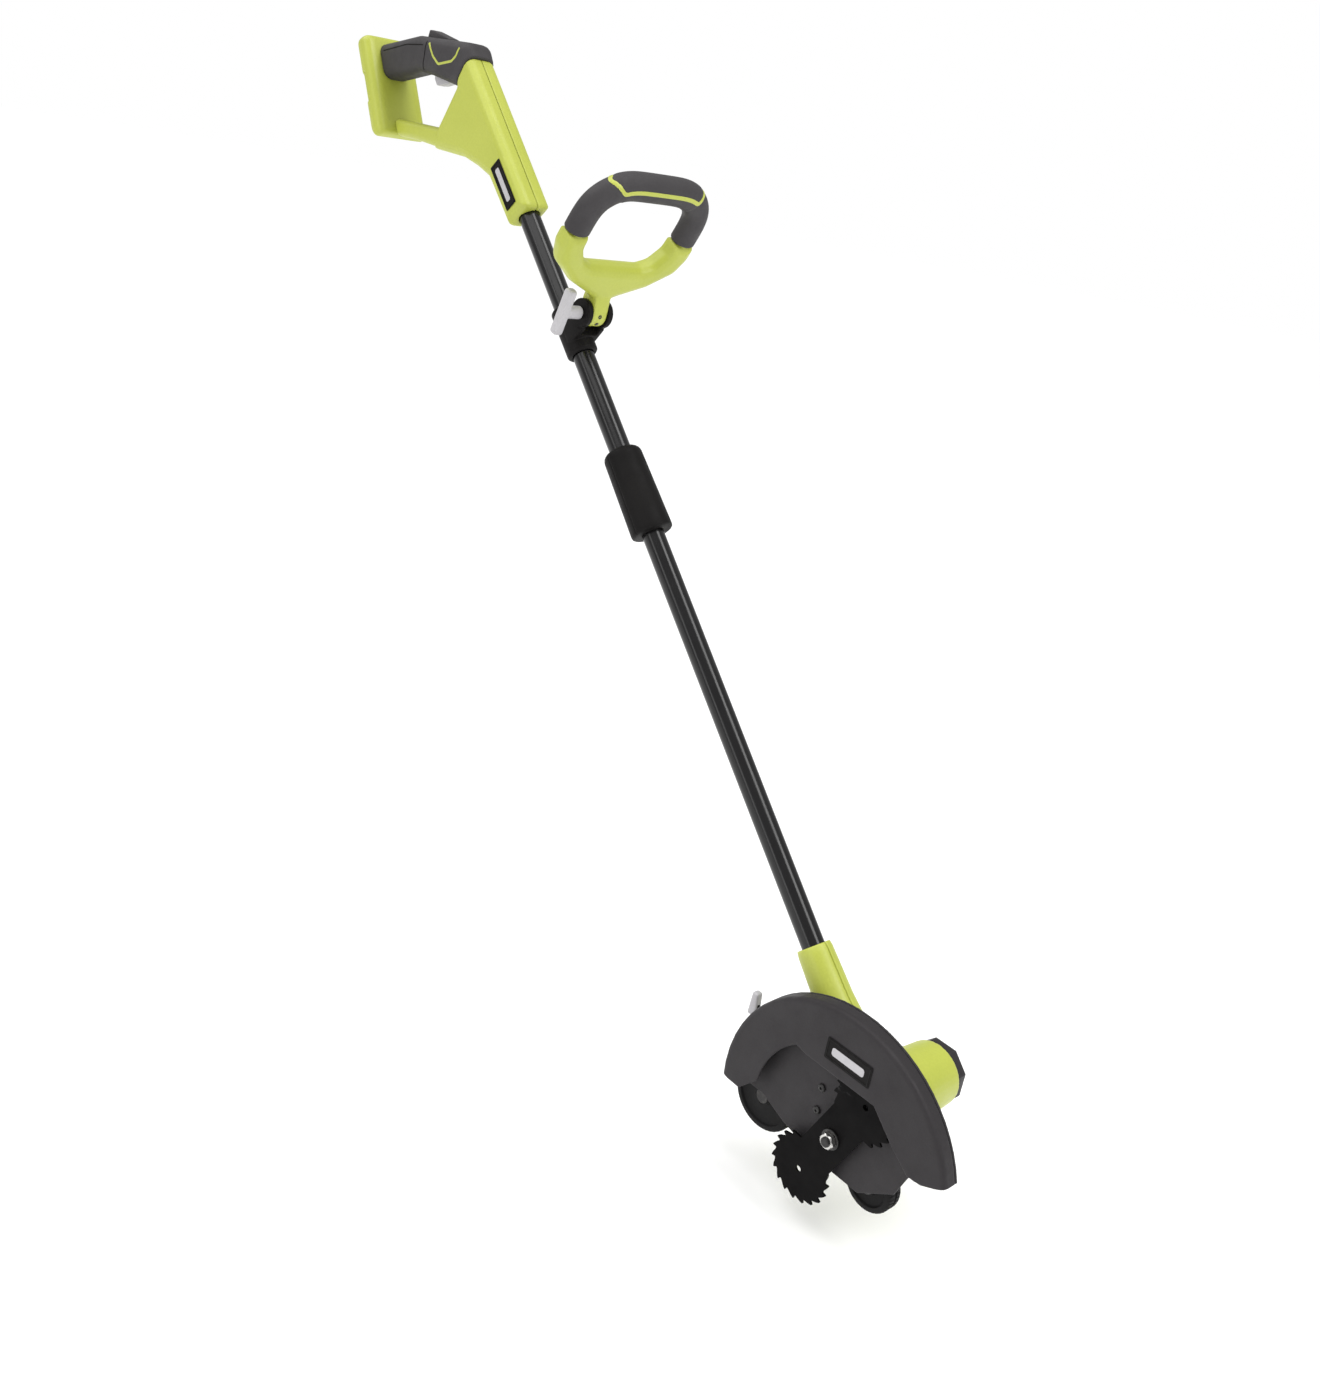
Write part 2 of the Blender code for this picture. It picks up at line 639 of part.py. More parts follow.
def front_handle():
    pivot = on_shaft(PIVOT_ALONG, PIVOT_AHEAD)
    pivot_frame = axle(pivot.x, pivot.z)
    half = [(10.5, 46), (10.5, 56.5), (22, 63), (55, 78), (85, 101), (92.5, 122), (92.5, LOOP_JOIN)]
    inner = [(62.5, LOOP_JOIN), (61.5, 124), (51, 107), (37, 101)]
    right = half + inner
    turns = [1, 6, 14, 20, 16, 12, 0.5, 0.5, 10, 12, 10]
    outline = fillet(right + [(-x, y) for x, y in reversed(right)], turns + turns[::-1], 2)
    base = slab("loop_base", outline, -LOOP_NORMAL + 0.5, LOOP_NORMAL - 0.5, (9, 9), 2, LOOP, "xy")
    top = LOOP @ Vector((0, 66, 0))
    stem = around_circles((pivot.x, pivot.z), 14.5, (top.x, top.z), 11, 10)
    neck = slab("neck", stem, -10.8, 10.8, (2, 2), 2)
    path = bend([(x, y - 12 if y == LOOP_JOIN else y) for x, y in LOOP_PATH], 24, 3)
    core_rings = [ellipse_ring(point, tangent, CORE_R, CORE_R, 12)
                  for point, tangent in zip(path, path_tangents(path))]
    base = add(base, neck, loft("core", core_rings, LOOP))
    base = cut(base, disc("hole", 3.3, -20, 20, pivot_frame, 16))
    screw_frame = frame(LOOP @ Vector((0, 62, 0)), LEFT, -LOOP_UP)
    sink = [(0, -3), (1.9, -3), (1.9, 8), (4, 8), (4, 20), (0, 20)]
    base = cut(base, turned("sink", sink, screw_frame, 12))
    finish(base, "lime", pivot)
    profile = [(0, -2.6), (1.6, -2.6), (1.6, 8.4), (3.6, 8.4), (3.6, 10.6), (0, 10.6)]
    finish(turned("loop_screw", profile, screw_frame, 12), "steel", pivot)

    path = bend([(x, y + GAP if y == LOOP_JOIN else y) for x, y in LOOP_PATH], 24, 3)
    tangents = path_tangents(path)
    outer = [ellipse_ring(point, tangent, LOOP_RADIAL, LOOP_NORMAL)
             for point, tangent in zip(path, tangents)]
    bore = [ellipse_ring(point, tangent, CORE_R + GAP, CORE_R + GAP)
            for point, tangent in zip(path, tangents)]
    finish(loft("loop_grip", outer + bore[::-1], LOOP, closed=True), "grey", pivot)
    clamp_parts(pivot, pivot_frame)


def clamp_parts(pivot, pivot_frame):
    low, high = 704, 766
    ring = disc("clamp_collar", 18.2, low, high, SHAFT, 32, 2.5)
    corners = [(0, low + 12), (30, PIVOT_ALONG - 16.5), (30, PIVOT_ALONG + 16.5), (0, high - 10)]
    mount_outline = [rear_point(along, ahead) for ahead, along in fillet(corners, 1)]
    mount = slab("mount", mount_outline, -18.5, 18.5, (3, 3), 2)
    ears = disc("ears", 16.5, -18.5, 18.5, pivot_frame, 28, 1.2)
    ring = add(ring, mount, ears)
    ring = cut(ring, block("gap", (19.5, -11.3, low - 10), (70, 11.3, high + 10), SHAFT),
               disc("bore", TUBE_R + GAP, low - 5, high + 5, SHAFT),
               disc("hole", 3.3, -30, 30, pivot_frame, 16))
    finish(ring, "black", pivot)
    profile = [(0, -41), (3, -41), (3, 18.8), (7, 18.8), (7, 22.5), (5.5, 24), (0, 24)]
    finish(turned("pivot_bolt", profile, pivot_frame, 16), "steel", pivot)
    heading = Vector((0.317, 0.0, 0.948))
    knob_frame = frame(pivot, heading, LEFT)
    grip = fillet([(-28, -6), (28, -6), (28, 6), (-28, 6)], 4, 3)
    bar = slab("wing_knob", grip, -48, -37, (2.5, 1.5), 2, knob_frame)
    hub = disc("hub", 7.5, -38, -18.8, pivot_frame, 20, 1)
    knob = add(bar, hub)
    knob = cut(knob, disc("hole", 3.3, -42, 0, pivot_frame, 16))
    finish(knob, "light", pivot)


# ---------------------------------------------------------------- gear housing
def on_guard(x, z):
    """(x, z) of a place given from the guard's centre."""
    return (GUARD_CENTRE[0] + x, GUARD_CENTRE[1] + z)


PLATE_SCREWS = (on_guard(-28, 38), on_guard(-27.5, 11.5), on_guard(35, 24))
GUARD_SCREWS = tuple(on_guard(133 * math.cos(turn), 133 * math.sin(turn))
                     for turn in (math.radians(168), math.radians(42)))


def housing_parts():
    boot = turned("housing", [(0, -170), (25, -170), (25.4, -105), (20.8, -62), (19.2, -10),
                              (18.2, -4), (0, -4)], SHAFT, 32)
    drum = slab("drum", around_circles(BLADE_AXIS, DRUM_R[0], MOTOR_AXIS, DRUM_R[1]), -30, 23, (4, 3), 2)
    nose = disc("nose", 19, HOUSING_Y, -20, axle(*BLADE_AXIS), 28, 1)
    barrel = turned("barrel", [(0, 15), (38, 15), (37.5, 30), (35, 60), (34, BARREL_END_Y),
                               (0, BARREL_END_Y)], axle(*MOTOR_AXIS), 36)
    arm_rib = slab("rib", around_circles(BLADE_AXIS, 15, ARM_PIVOT, 8, 8), -22.2, -8)
    wheel_rib = slab("rib", around_circles(BLADE_AXIS, 15, FRONT_WHEEL, 8.5, 8), -28.5, -14)
    posts = [disc("post", 6, HOUSING_Y, -12, axle(*spot), 16) for spot in PLATE_SCREWS]
    whole = add(boot, drum, nose, barrel, arm_rib, wheel_rib, *posts)

    gears = slab("gears", around_circles(BLADE_AXIS, GEAR_ROOM_R[0], MOTOR_AXIS, GEAR_ROOM_R[1]),
                 -27, 20.3)
    gears = add(gears, disc("room", 31.2, 19, BARREL_END_Y + 5, axle(*MOTOR_AXIS), 36),
                disc("seat", 13.3, -50, -26, axle(*BLADE_AXIS), 28),
                disc("throat", 11, -150, SHAFT_FOOT - 1, SHAFT, 24),
                disc("tube_seat", TUBE_R + GAP, SHAFT_FOOT - 2, 10, SHAFT, 32))
    whole = cut(whole, gears, disc("hole", 7, -60, -40, axle(*BLADE_AXIS), 24),
                disc("hole", 3.3, -40, -11, axle(*ARM_PIVOT), 16),
                disc("hole", 4.3, -40, -17, axle(*FRONT_WHEEL), 16))
    for spot in PLATE_SCREWS:
        whole = cut(whole, disc("hole", 2.2, -60, -36, axle(*spot), 12))
    right, left = split_at_seam(whole, "housing_right", "housing_left")
    finish(right, "lime")
    finish(left, "lime")

    octagon = arc(MOTOR_AXIS[0], MOTOR_AXIS[1], 36, 22.5, 337.5, 7)
    cap = slab("motor_end_cap", fillet(octagon, 5, 2), BARREL_END_Y + GAP, CAP_END_Y, (0, 4), 3)
    cap = cut(cap, disc("hollow", 28, BARREL_END_Y - 1, CAP_END_Y - 3, axle(*MOTOR_AXIS), 28))
    finish(cap, "grey")


def gear_train():
    blade_frame = axle(*BLADE_AXIS)
    motor_frame = axle(*MOTOR_AXIS)
    blade_pivot = (BLADE_AXIS[0], 0, BLADE_AXIS[1])
    motor_pivot = (MOTOR_AXIS[0], 0, MOTOR_AXIS[1])
    facing = math.radians(90) - MOTOR_ANGLE
    gear = slab("drive_gear", gear_outline(GEAR_TEETH, GEAR_MODULE), -14, -4, plane="xy",
                place=blade_frame @ Matrix.Rotation(facing, 4, "Z"))
    gear = add(gear, disc("hub", 9, -4.5, 4, blade_frame, 24))
    gear = cut(gear, disc("bore", 5.3, -30, 20, blade_frame, 20))
    finish(gear, "steel", blade_pivot)
    half_tooth = math.pi / PINION_TEETH
    pinion = slab("pinion", gear_outline(PINION_TEETH, GEAR_MODULE), -14.5, -3.5, plane="xy",
                  place=motor_frame @ Matrix.Rotation(facing + math.pi + half_tooth, 4, "Z"))
    pinion = cut(pinion, disc("bore", 2.8, -30, 20, motor_frame, 16))
    finish(pinion, "steel", motor_pivot)

    shaft = turned("spindle", [(0, -79), (4.2, -79), (5, -78), (5, 14), (0, 14)], blade_frame, 20)
    finish(shaft, "steel", blade_pivot)
    finish(collar("bearing_front", 13, 5.3, -49.7, -42, blade_frame, 24), "steel")
    finish(collar("bearing_rear", 11, 5.3, 7, 14, blade_frame, 24), "steel")
    rims = [radius - GAP for radius in GEAR_ROOM_R]
    plate = slab("gear_plate", around_circles(BLADE_AXIS, rims[0], MOTOR_AXIS, rims[1]), 16, 20)
    plate = add(plate, disc("seat", 14.4, 6, 16.5, blade_frame, 24))
    plate = cut(plate, disc("bore", 11.3, 5, 14.3, blade_frame, 24),
                disc("pilot", 8, 10, 25, motor_frame, 20))
    finish(plate, "steel")

    can = disc("motor_can", 22, 20.3, 76, motor_frame, 24)
    can = cut(can, disc("room", 20.3, 22, 90, motor_frame, 24), disc("hole", 4, 10, 30, motor_frame, 16))
    finish(can, "steel")
    finish(collar("motor_magnet", 20, 17.2, 28, 60, motor_frame, 24), "black")
    rotor = turned("rotor", [(0, -16), (2.5, -16), (2.5, 30), (16.4, 30), (16.4, 58), (8, 58), (8, 72),
                             (2.5, 72), (2.5, 79), (0, 79)], motor_frame, 16)
    finish(rotor, "copper", motor_pivot)


def blade_outline():
    """Bar with two round toothed ends, about the origin."""
    neck = math.degrees(math.asin(BLADE_NECK / (BLADE_END_R - BLADE_TOOTH)))
    teeth = 15
    span = 360 - 2 * neck
    points = []
    for centre, turn in ((BLADE_END_OFFSET, -180 + neck), (-BLADE_END_OFFSET, neck)):
        for tooth in range(teeth):
            for share, radius in ((0.0, BLADE_END_R - BLADE_TOOTH), (0.72, BLADE_END_R)):
                angle = math.radians(turn + span * (tooth + share) / teeth)
                points.append((centre + radius * math.cos(angle), radius * math.sin(angle)))
        angle = math.radians(turn + span)
        radius = BLADE_END_R - BLADE_TOOTH
        points.append((centre + radius * math.cos(angle), radius * math.sin(angle)))
    return points


def blade_parts():
    blade_frame = axle(*BLADE_AXIS)
    pivot = (BLADE_AXIS[0], 0, BLADE_AXIS[1])
    heading = frame((BLADE_AXIS[0], 0, BLADE_AXIS[1]),
                    (math.cos(BLADE_HEADING), 0, math.sin(BLADE_HEADING)), (0, 1, 0))
    blade = slab("blade", blade_outline(), BLADE_Y[0], BLADE_Y[1], place=heading)
    blade = cut(blade, disc("bore", 5.3, -80, -50, blade_frame, 20))
    for side in (-1, 1):
        spot = heading @ Vector((side * BLADE_HOLE_OFFSET, 0, 0))
        blade = cut(blade, disc("hole", 3.2, -80, -50, axle(spot.x, spot.z), 12))
    finish(blade, "blade", pivot)
    profile = [(5.3, -65.7), (16, -65.7), (16, -62.7), (9, -60), (9, -53.9), (5.3, -53.9)]
    finish(turned("blade_flange", profile, blade_frame, 24, ring=True), "steel", pivot)
    finish(collar("blade_washer", 10.5, 5.3, -70.6, -68.8, blade_frame, 24), "steel", pivot)
    hexagon = [(8.6 * math.cos(math.pi * k / 3), 8.6 * math.sin(math.pi * k / 3)) for k in range(6)]
    nut = slab("blade_nut", hexagon, -76.4, -70.9, plane="xy", place=blade_frame)
    nut = cut(nut, disc("bore", 5.3, -80, -60, blade_frame, 20))
    finish(nut, "steel", pivot)


# ---------------------------------------------------------------- guard
OUTER_ARC = arc(0, 0, GUARD_R, 18.2, 186.5, 30)
CRESCENT = OUTER_ARC + [(-116, -17)] + arc(0, 0, 95, 176, 128, 10) + [
    (-44, 72), (42, 72), (70, 47), (94, 29.5), (109, 31), (124, 38)]
BACK_PLATE = OUTER_ARC + [
    (-116, -17), (-97, -17), (-62, -30), (-24, -38), (6, -40.5), (39, -40.5), (77, -13),
    (86, 12.5), (96, 29), (109, 31), (124, 38)]


def guard_parts():
    shell = slab("guard_shell", [on_guard(*point) for point in CRESCENT], GUARD_FACE_Y,
                 GUARD_BACK_Y - GAP, (0, 0))
    room = disc("room", GUARD_R - GUARD_WALL, GUARD_FACE_Y + GUARD_WALL, GUARD_BACK_Y + 5,
                axle(*GUARD_CENTRE), 48)
    shell = cut(shell, room)
    edge = turned("edge", [(GUARD_R - 4, GUARD_FACE_Y - 1), (GUARD_R + 5, GUARD_FACE_Y - 1),
                           (GUARD_R + 5, GUARD_FACE_Y + 4), (GUARD_R - 0.001, GUARD_FACE_Y + 4),
                           (GUARD_R - 1.1, GUARD_FACE_Y + 1.2), (GUARD_R - 4, GUARD_FACE_Y)],
                  axle(*GUARD_CENTRE), 48, ring=True)
    shell = cut(shell, edge)
    for spot in GUARD_SCREWS:
        shell = add(shell, disc("post", 5, GUARD_FACE_Y + 1.5, GUARD_BACK_Y - GAP, axle(*spot), 16))
        shell = cut(shell, disc("hole", 2.1, -69, -50, axle(*spot), 12))
    finish(shell, "grey")

    plate = slab("guard_back_plate", [on_guard(*point) for point in BACK_PLATE],
                 GUARD_BACK_Y, PLATE_BACK_Y)
    holes = [disc("hole", 17.5, -60, -50, axle(*BLADE_AXIS), 28)]
    holes += [disc("hole", 2.4, -60, -50, axle(*spot), 12) for spot in PLATE_SCREWS + GUARD_SCREWS]
    finish(cut(plate, *holes), "grey")
    for index, spot in enumerate(PLATE_SCREWS, 1):
        screw(f"plate_screw_{index}", spot, GUARD_BACK_Y - GAP, -38, 1.8, 4.2, 2.4)
    for index, spot in enumerate(GUARD_SCREWS, 1):
        screw(f"guard_screw_{index}", spot, PLATE_BACK_Y + GAP, -67, 1.8, 3.8, 2.2)
    corners = [on_guard(x, z) for x, z in ((-24, 85), (32, 85), (32, 108.5), (-24, 108.5))]
    label = slab("guard_label", fillet(corners, 1.5, 2), GUARD_FACE_Y - GAP - 0.9, GUARD_FACE_Y - GAP)
    finish(label, "black")


# ---------------------------------------------------------------- wheels and depth adjuster
def wheel(name, spot, radius):
    """Solid rubber-faced wheel with a crowned tread and a dished side."""
    low, high = WHEEL_Y
    profile = [(4.4, low), (10, low), (10, low + 2), (radius - 7, low + 2), (radius - 7, low),
               (radius - 2.5, low), (radius, low + 3), (radius, high - 3), (radius - 2.5, high),
               (4.4, high)]
    item = turned(name, profile, axle(*spot), 28, ring=True)
    return finish(item, "rubber", (spot[0], 0, spot[1]))


def wheel_bolt(name, spot, tip, pivot=None):
    low = WHEEL_Y[0]
    item = turned(name, [(0, low - 3.3), (6, low - 3.3), (7.5, low - 2), (7.5, low - 0.4), (4, low - 0.4),
                         (4, tip), (0, tip)], axle(*spot), 20)
    return finish(item, "steel", pivot)


def wheels_and_depth():
    wheel("front_wheel", FRONT_WHEEL, FRONT_WHEEL_R)
    wheel("rear_wheel", REAR_WHEEL, REAR_WHEEL_R)
    arm_pivot = (ARM_PIVOT[0], 0, ARM_PIVOT[1])
    wheel_bolt("front_axle", FRONT_WHEEL, -18)
    wheel_bolt("rear_axle", REAR_WHEEL, -22, arm_pivot)

    start = Vector(ARM_PIVOT)
    tip = Vector(LEVER_TIP)
    run = (tip - start).normalized()
    heading = math.degrees(math.atan2(run.y, run.x))
    arm = slab("depth_arm", around_circles(ARM_PIVOT, 9, REAR_WHEEL, 9, 8), ARM_Y[0], ARM_Y[1])
    end = tip + Vector((2, -17))
    lever = slab("lever", around_circles(ARM_PIVOT, 8, (end.x, end.y), 3.5, 8),
                 ARM_Y[0] + GAP, ARM_Y[1] - GAP)
    arm = add(arm, lever)
    arm = cut(arm, disc("hole", 3.3, -40, -10, axle(*ARM_PIVOT), 16),
              disc("hole", 4.3, -40, -10, axle(*REAR_WHEEL), 16))
    finish(arm, "black", arm_pivot)

    knob_frame = frame((tip.x, 0, tip.y), (0, 0, -1), (0, 1, 0))
    sides = [(0, -4), (28, -6), (28, 6), (0, 4)]
    knob = slab("depth_knob", fillet(sides, [3, 2, 2, 3], 3), -31.5, -22.5, (2, 2), 2, knob_frame)
    seat = slab("seat", around_circles(ARM_PIVOT, 8 + GAP, (end.x, end.y), 3.5 + GAP, 8),
                ARM_Y[0], ARM_Y[1])
    knob = cut(knob, seat)
    finish(knob, "light", arm_pivot)

    ring = arc(0, 0, 104, heading - 20, heading + 20, 12)
    notched = []
    for index, point in enumerate(ring):
        radius = 104 if index % 2 else 101.5
        notched.append(tuple(Vector(point).normalized() * radius))
    band = notched + arc(0, 0, 90, heading + 20, heading - 20, 8)
    sector = slab("sector", [(x + start.x, z + start.y) for x, z in band], -24.5, -22.5)
    far = start + run * 92
    strip = slab("strip", around_circles(ARM_PIVOT, 8, (far.x, far.y), 6, 6), -24.5, -22.5)
    sector = add(sector, strip)
    sector = cut(sector, disc("hole", 3.3, -40, -10, axle(*ARM_PIVOT), 16))
    sector.name = "depth_sector"
    finish(sector, "black")
    profile = [(0, -33), (4.5, -33), (6.5, -31.8), (6.5, -29.3), (3, -29.3), (3, -12.5), (0, -12.5)]
    finish(turned("arm_bolt", profile, axle(*ARM_PIVOT), 16), "steel")


def main():
    for item in list(bpy.data.objects):
        bpy.data.objects.remove(item, do_unlink=True)
    handle_casing()
    grip_cover()
    trigger_parts()
    battery_dock()
    handle_inner_parts()
    shaft_parts()
    front_handle()
    housing_parts()
    gear_train()
    blade_parts()
    guard_parts()
    wheels_and_depth()


main()
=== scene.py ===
"""Looks of the lawn edger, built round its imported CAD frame.

Shapes are worked out in millimetres from the shaft foot, x ahead, y left, z up, and are
moved into the frame's metres as each mesh is made.
"""

import json
import math

import bmesh
import bpy
from mathutils import Matrix, Vector
from mathutils.bvhtree import BVHTree

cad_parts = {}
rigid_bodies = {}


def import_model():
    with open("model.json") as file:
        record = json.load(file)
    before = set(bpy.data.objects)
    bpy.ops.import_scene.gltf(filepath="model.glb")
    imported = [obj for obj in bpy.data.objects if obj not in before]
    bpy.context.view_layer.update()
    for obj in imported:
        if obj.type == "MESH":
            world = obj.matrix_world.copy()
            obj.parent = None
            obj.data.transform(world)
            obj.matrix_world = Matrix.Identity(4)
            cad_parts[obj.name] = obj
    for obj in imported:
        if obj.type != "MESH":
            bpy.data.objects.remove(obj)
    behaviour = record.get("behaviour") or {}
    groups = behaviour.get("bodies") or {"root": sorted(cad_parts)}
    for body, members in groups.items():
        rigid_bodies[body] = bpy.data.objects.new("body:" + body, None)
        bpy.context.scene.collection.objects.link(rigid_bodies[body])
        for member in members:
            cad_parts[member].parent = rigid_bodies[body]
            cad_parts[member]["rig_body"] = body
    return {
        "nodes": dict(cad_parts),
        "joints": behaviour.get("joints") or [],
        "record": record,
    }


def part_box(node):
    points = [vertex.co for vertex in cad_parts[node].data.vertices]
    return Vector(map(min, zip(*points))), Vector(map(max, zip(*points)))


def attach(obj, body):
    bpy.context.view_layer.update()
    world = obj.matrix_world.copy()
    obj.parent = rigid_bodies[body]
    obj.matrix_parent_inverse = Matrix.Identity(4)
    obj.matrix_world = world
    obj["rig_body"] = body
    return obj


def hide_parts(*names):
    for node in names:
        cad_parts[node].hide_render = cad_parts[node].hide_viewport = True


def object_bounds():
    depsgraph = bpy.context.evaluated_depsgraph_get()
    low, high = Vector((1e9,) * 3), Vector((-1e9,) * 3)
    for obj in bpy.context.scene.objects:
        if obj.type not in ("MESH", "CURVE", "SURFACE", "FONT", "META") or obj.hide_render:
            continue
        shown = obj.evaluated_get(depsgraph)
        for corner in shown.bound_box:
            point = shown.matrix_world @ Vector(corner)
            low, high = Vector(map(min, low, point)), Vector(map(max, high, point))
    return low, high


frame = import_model()
CAD_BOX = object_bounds()

# ---------------------------------------------------------------- places and sizes (mm)
MM = 0.001
GRIP = Vector((-915.0, 0.0, 787.0))            # the frame's origin, from the shaft foot
TO_ROW = Matrix.Scale(MM, 4) @ Matrix.Translation(-GRIP)      # these millimetres to its metres
LEAN = math.radians(45.0)
UP_SHAFT = Vector((-math.sin(LEAN), 0.0, math.cos(LEAN)))
AHEAD = Vector((math.cos(LEAN), 0.0, math.sin(LEAN)))
LEFT = Vector((0.0, 1.0, 0.0))

TUBE_R = 12.7
TUBE_BORE = 11.5
TUBE_EDGE = 0.5                                # round of the tubes' outer edges
TUBE_FOOT = -78.0
TUBE_SPLIT = 525.0                             # where the two tubes meet
TUBE_TOP = 960.0
TUBE_GAP = 0.3                                 # between the two tubes
SLEEVE_BORE = 13.0
SLEEVE_FOOT = 474.0
SLEEVE_TOP = 577.5

LOOP_TILT = math.radians(15.0)
LOOP_UP = math.cos(LOOP_TILT) * AHEAD + math.sin(LOOP_TILT) * UP_SHAFT
LOOP_ALONG = 735.0                             # the loop handle's plane, up the shaft
LOOP_HALF = ((77.5, 140.3), (77.5, 180.0), (50.0, 203.0))     # half of the grip's centre line
LOOP_RADIAL = 15.5                             # half of the grip's section, in its plane
LOOP_NORMAL = 13.5                             # and across it
LOOP_BORE = 9.8


def from_foot(point):
    """A point of the frame, in metres, as millimetres from the shaft foot."""
    return Vector(point) / MM + GRIP


JOINT_AT = {joint["name"]: from_foot(joint["pos_m"])
            for joint in frame["joints"] if "pos_m" in joint}
SLOT_OF = {part["node"]: part["material_slot"] for part in frame["record"]["subparts"]}
BODY_OF = {node: piece["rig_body"] for node, piece in frame["nodes"].items()}


def node_box(name):
    """Lowest and highest corner of a CAD node, in millimetres from the shaft foot."""
    low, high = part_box(name)
    return from_foot(low), from_foot(high)


def axes(origin, x_axis, y_axis):
    """Matrix whose local x and y run along the two given unit axes."""
    x_dir = Vector(x_axis)
    y_dir = Vector(y_axis)
    rows = Matrix((x_dir, y_dir, x_dir.cross(y_dir))).transposed().to_4x4()
    rows.translation = Vector(origin)
    return rows


def axle(place):
    """Frame of an axis that runs to the left through a point's x and z."""
    return axes((place[0], 0, place[-1]), (0, 0, 1), (1, 0, 0))


SIDE = Matrix.Identity(4)
SHAFT = axes((0, 0, 0), AHEAD, LEFT)
LOOP = axes(LOOP_ALONG * UP_SHAFT, LEFT, LOOP_UP)


# ---------------------------------------------------------------- paints
def shader_net(name):
    """A new material, its Principled shader, its node tree and the object coordinates."""
    paint = bpy.data.materials.new(name)
    paint.use_nodes = True
    tree = paint.node_tree
    shader = tree.nodes["Principled BSDF"]
    where = tree.nodes.new("ShaderNodeTexCoord").outputs["Object"]
    return paint, shader, tree, where


def noise(tree, where, per_metre, detail=3.0, roughness=0.5, stretch=None):
    """Noise whose grain is 1 / per_metre; stretch scales the coordinates first."""
    if stretch:
        turn = tree.nodes.new("ShaderNodeMapping")
        turn.inputs["Scale"].default_value = stretch
        tree.links.new(where, turn.inputs["Vector"])
        where = turn.outputs["Vector"]
    node = tree.nodes.new("ShaderNodeTexNoise")
    node.inputs["Scale"].default_value = per_metre
    node.inputs["Detail"].default_value = detail
    node.inputs["Roughness"].default_value = roughness
    tree.links.new(where, node.inputs["Vector"])
    return node.outputs["Fac"]


def cells(tree, where, per_metre):
    """Distance to the nearest cell centre: pebbled grain."""
    node = tree.nodes.new("ShaderNodeTexVoronoi")
    node.inputs["Scale"].default_value = per_metre
    tree.links.new(where, node.inputs["Vector"])
    return node.outputs["Distance"]


def ranged(tree, value, low, high, start=0.35, end=0.65):
    """Spread a value between start and end over low to high."""
    node = tree.nodes.new("ShaderNodeMapRange")
    node.inputs["From Min"].default_value = start
    node.inputs["From Max"].default_value = end
    node.inputs["To Min"].default_value = low
    node.inputs["To Max"].default_value = high
    tree.links.new(value, node.inputs["Value"])
    return node.outputs["Result"]


def mixed(tree, factor, first, second):
    """Blend two colours, each a linear RGB triple or an output of another blend."""
    node = tree.nodes.new("ShaderNodeMix")
    node.data_type = "RGBA"
    tree.links.new(factor, node.inputs["Factor"])
    sockets = [socket for socket in node.inputs if socket.type == "RGBA"]
    for socket, colour in zip(sockets, (first, second)):
        if isinstance(colour, tuple):
            socket.default_value = (*colour, 1.0)
        else:
            tree.links.new(colour, socket)
    return next(output for output in node.outputs if output.type == "RGBA")


def added(tree, first, second, operation="ADD"):
    """Sum, or another operation, of two values, each a number or an output."""
    node = tree.nodes.new("ShaderNodeMath")
    node.operation = operation
    for socket, value in zip(node.inputs, (first, second)):
        if isinstance(value, float):
            socket.default_value = value
        else:
            tree.links.new(value, socket)
    return node.outputs["Value"]


def bumped(tree, shader, height, depth):
    """Relief of the given depth in metres."""
    node = tree.nodes.new("ShaderNodeBump")
    node.inputs["Distance"].default_value = depth
    tree.links.new(height, node.inputs["Height"])
    tree.links.new(node.outputs["Normal"], shader.inputs["Normal"])


def worn_edges(tree, where, start, end):
    """1 on sharp outer edges, broken up by noise, and 0 elsewhere."""
    shape = tree.nodes.new("ShaderNodeNewGeometry").outputs["Pointiness"]
    edge = ranged(tree, shape, 0.0, 1.0, start, end)
    chips = ranged(tree, noise(tree, where, 160.0), 0.0, 1.0, 0.42, 0.62)
    return added(tree, edge, chips, "MULTIPLY")


def plastic(name, tone, shade, worn, rough, grain, depth, pebbles=0.0, gloss=0.5):
    """Moulded plastic: clouded colour, rubbed edges, uneven gloss and a spark-eroded grain."""
    paint, shader, tree, where = shader_net(name)
    cloud = ranged(tree, noise(tree, where, 14.0, 4.0), 0.0, 1.0)
    speck = ranged(tree, noise(tree, where, 420.0, 2.0), 0.0, 0.35, 0.3, 0.7)
    base = mixed(tree, cloud, tone, shade)
    base = mixed(tree, speck, base, tuple(0.86 * part for part in shade))
    base = mixed(tree, worn_edges(tree, where, 0.53, 0.68), base, worn)
    tree.links.new(base, shader.inputs["Base Color"])
    smear = added(tree, ranged(tree, noise(tree, where, 45.0, 5.0, 0.6), rough[0], rough[1]),
                  ranged(tree, noise(tree, where, 900.0, 2.0), -0.03, 0.03))
    tree.links.new(smear, shader.inputs["Roughness"])
    relief = noise(tree, where, grain, 2.0)
    if pebbles:
        relief = added(tree, relief, cells(tree, where, pebbles))
    bumped(tree, shader, relief, depth)
    shader.inputs["Specular IOR Level"].default_value = gloss
    return paint


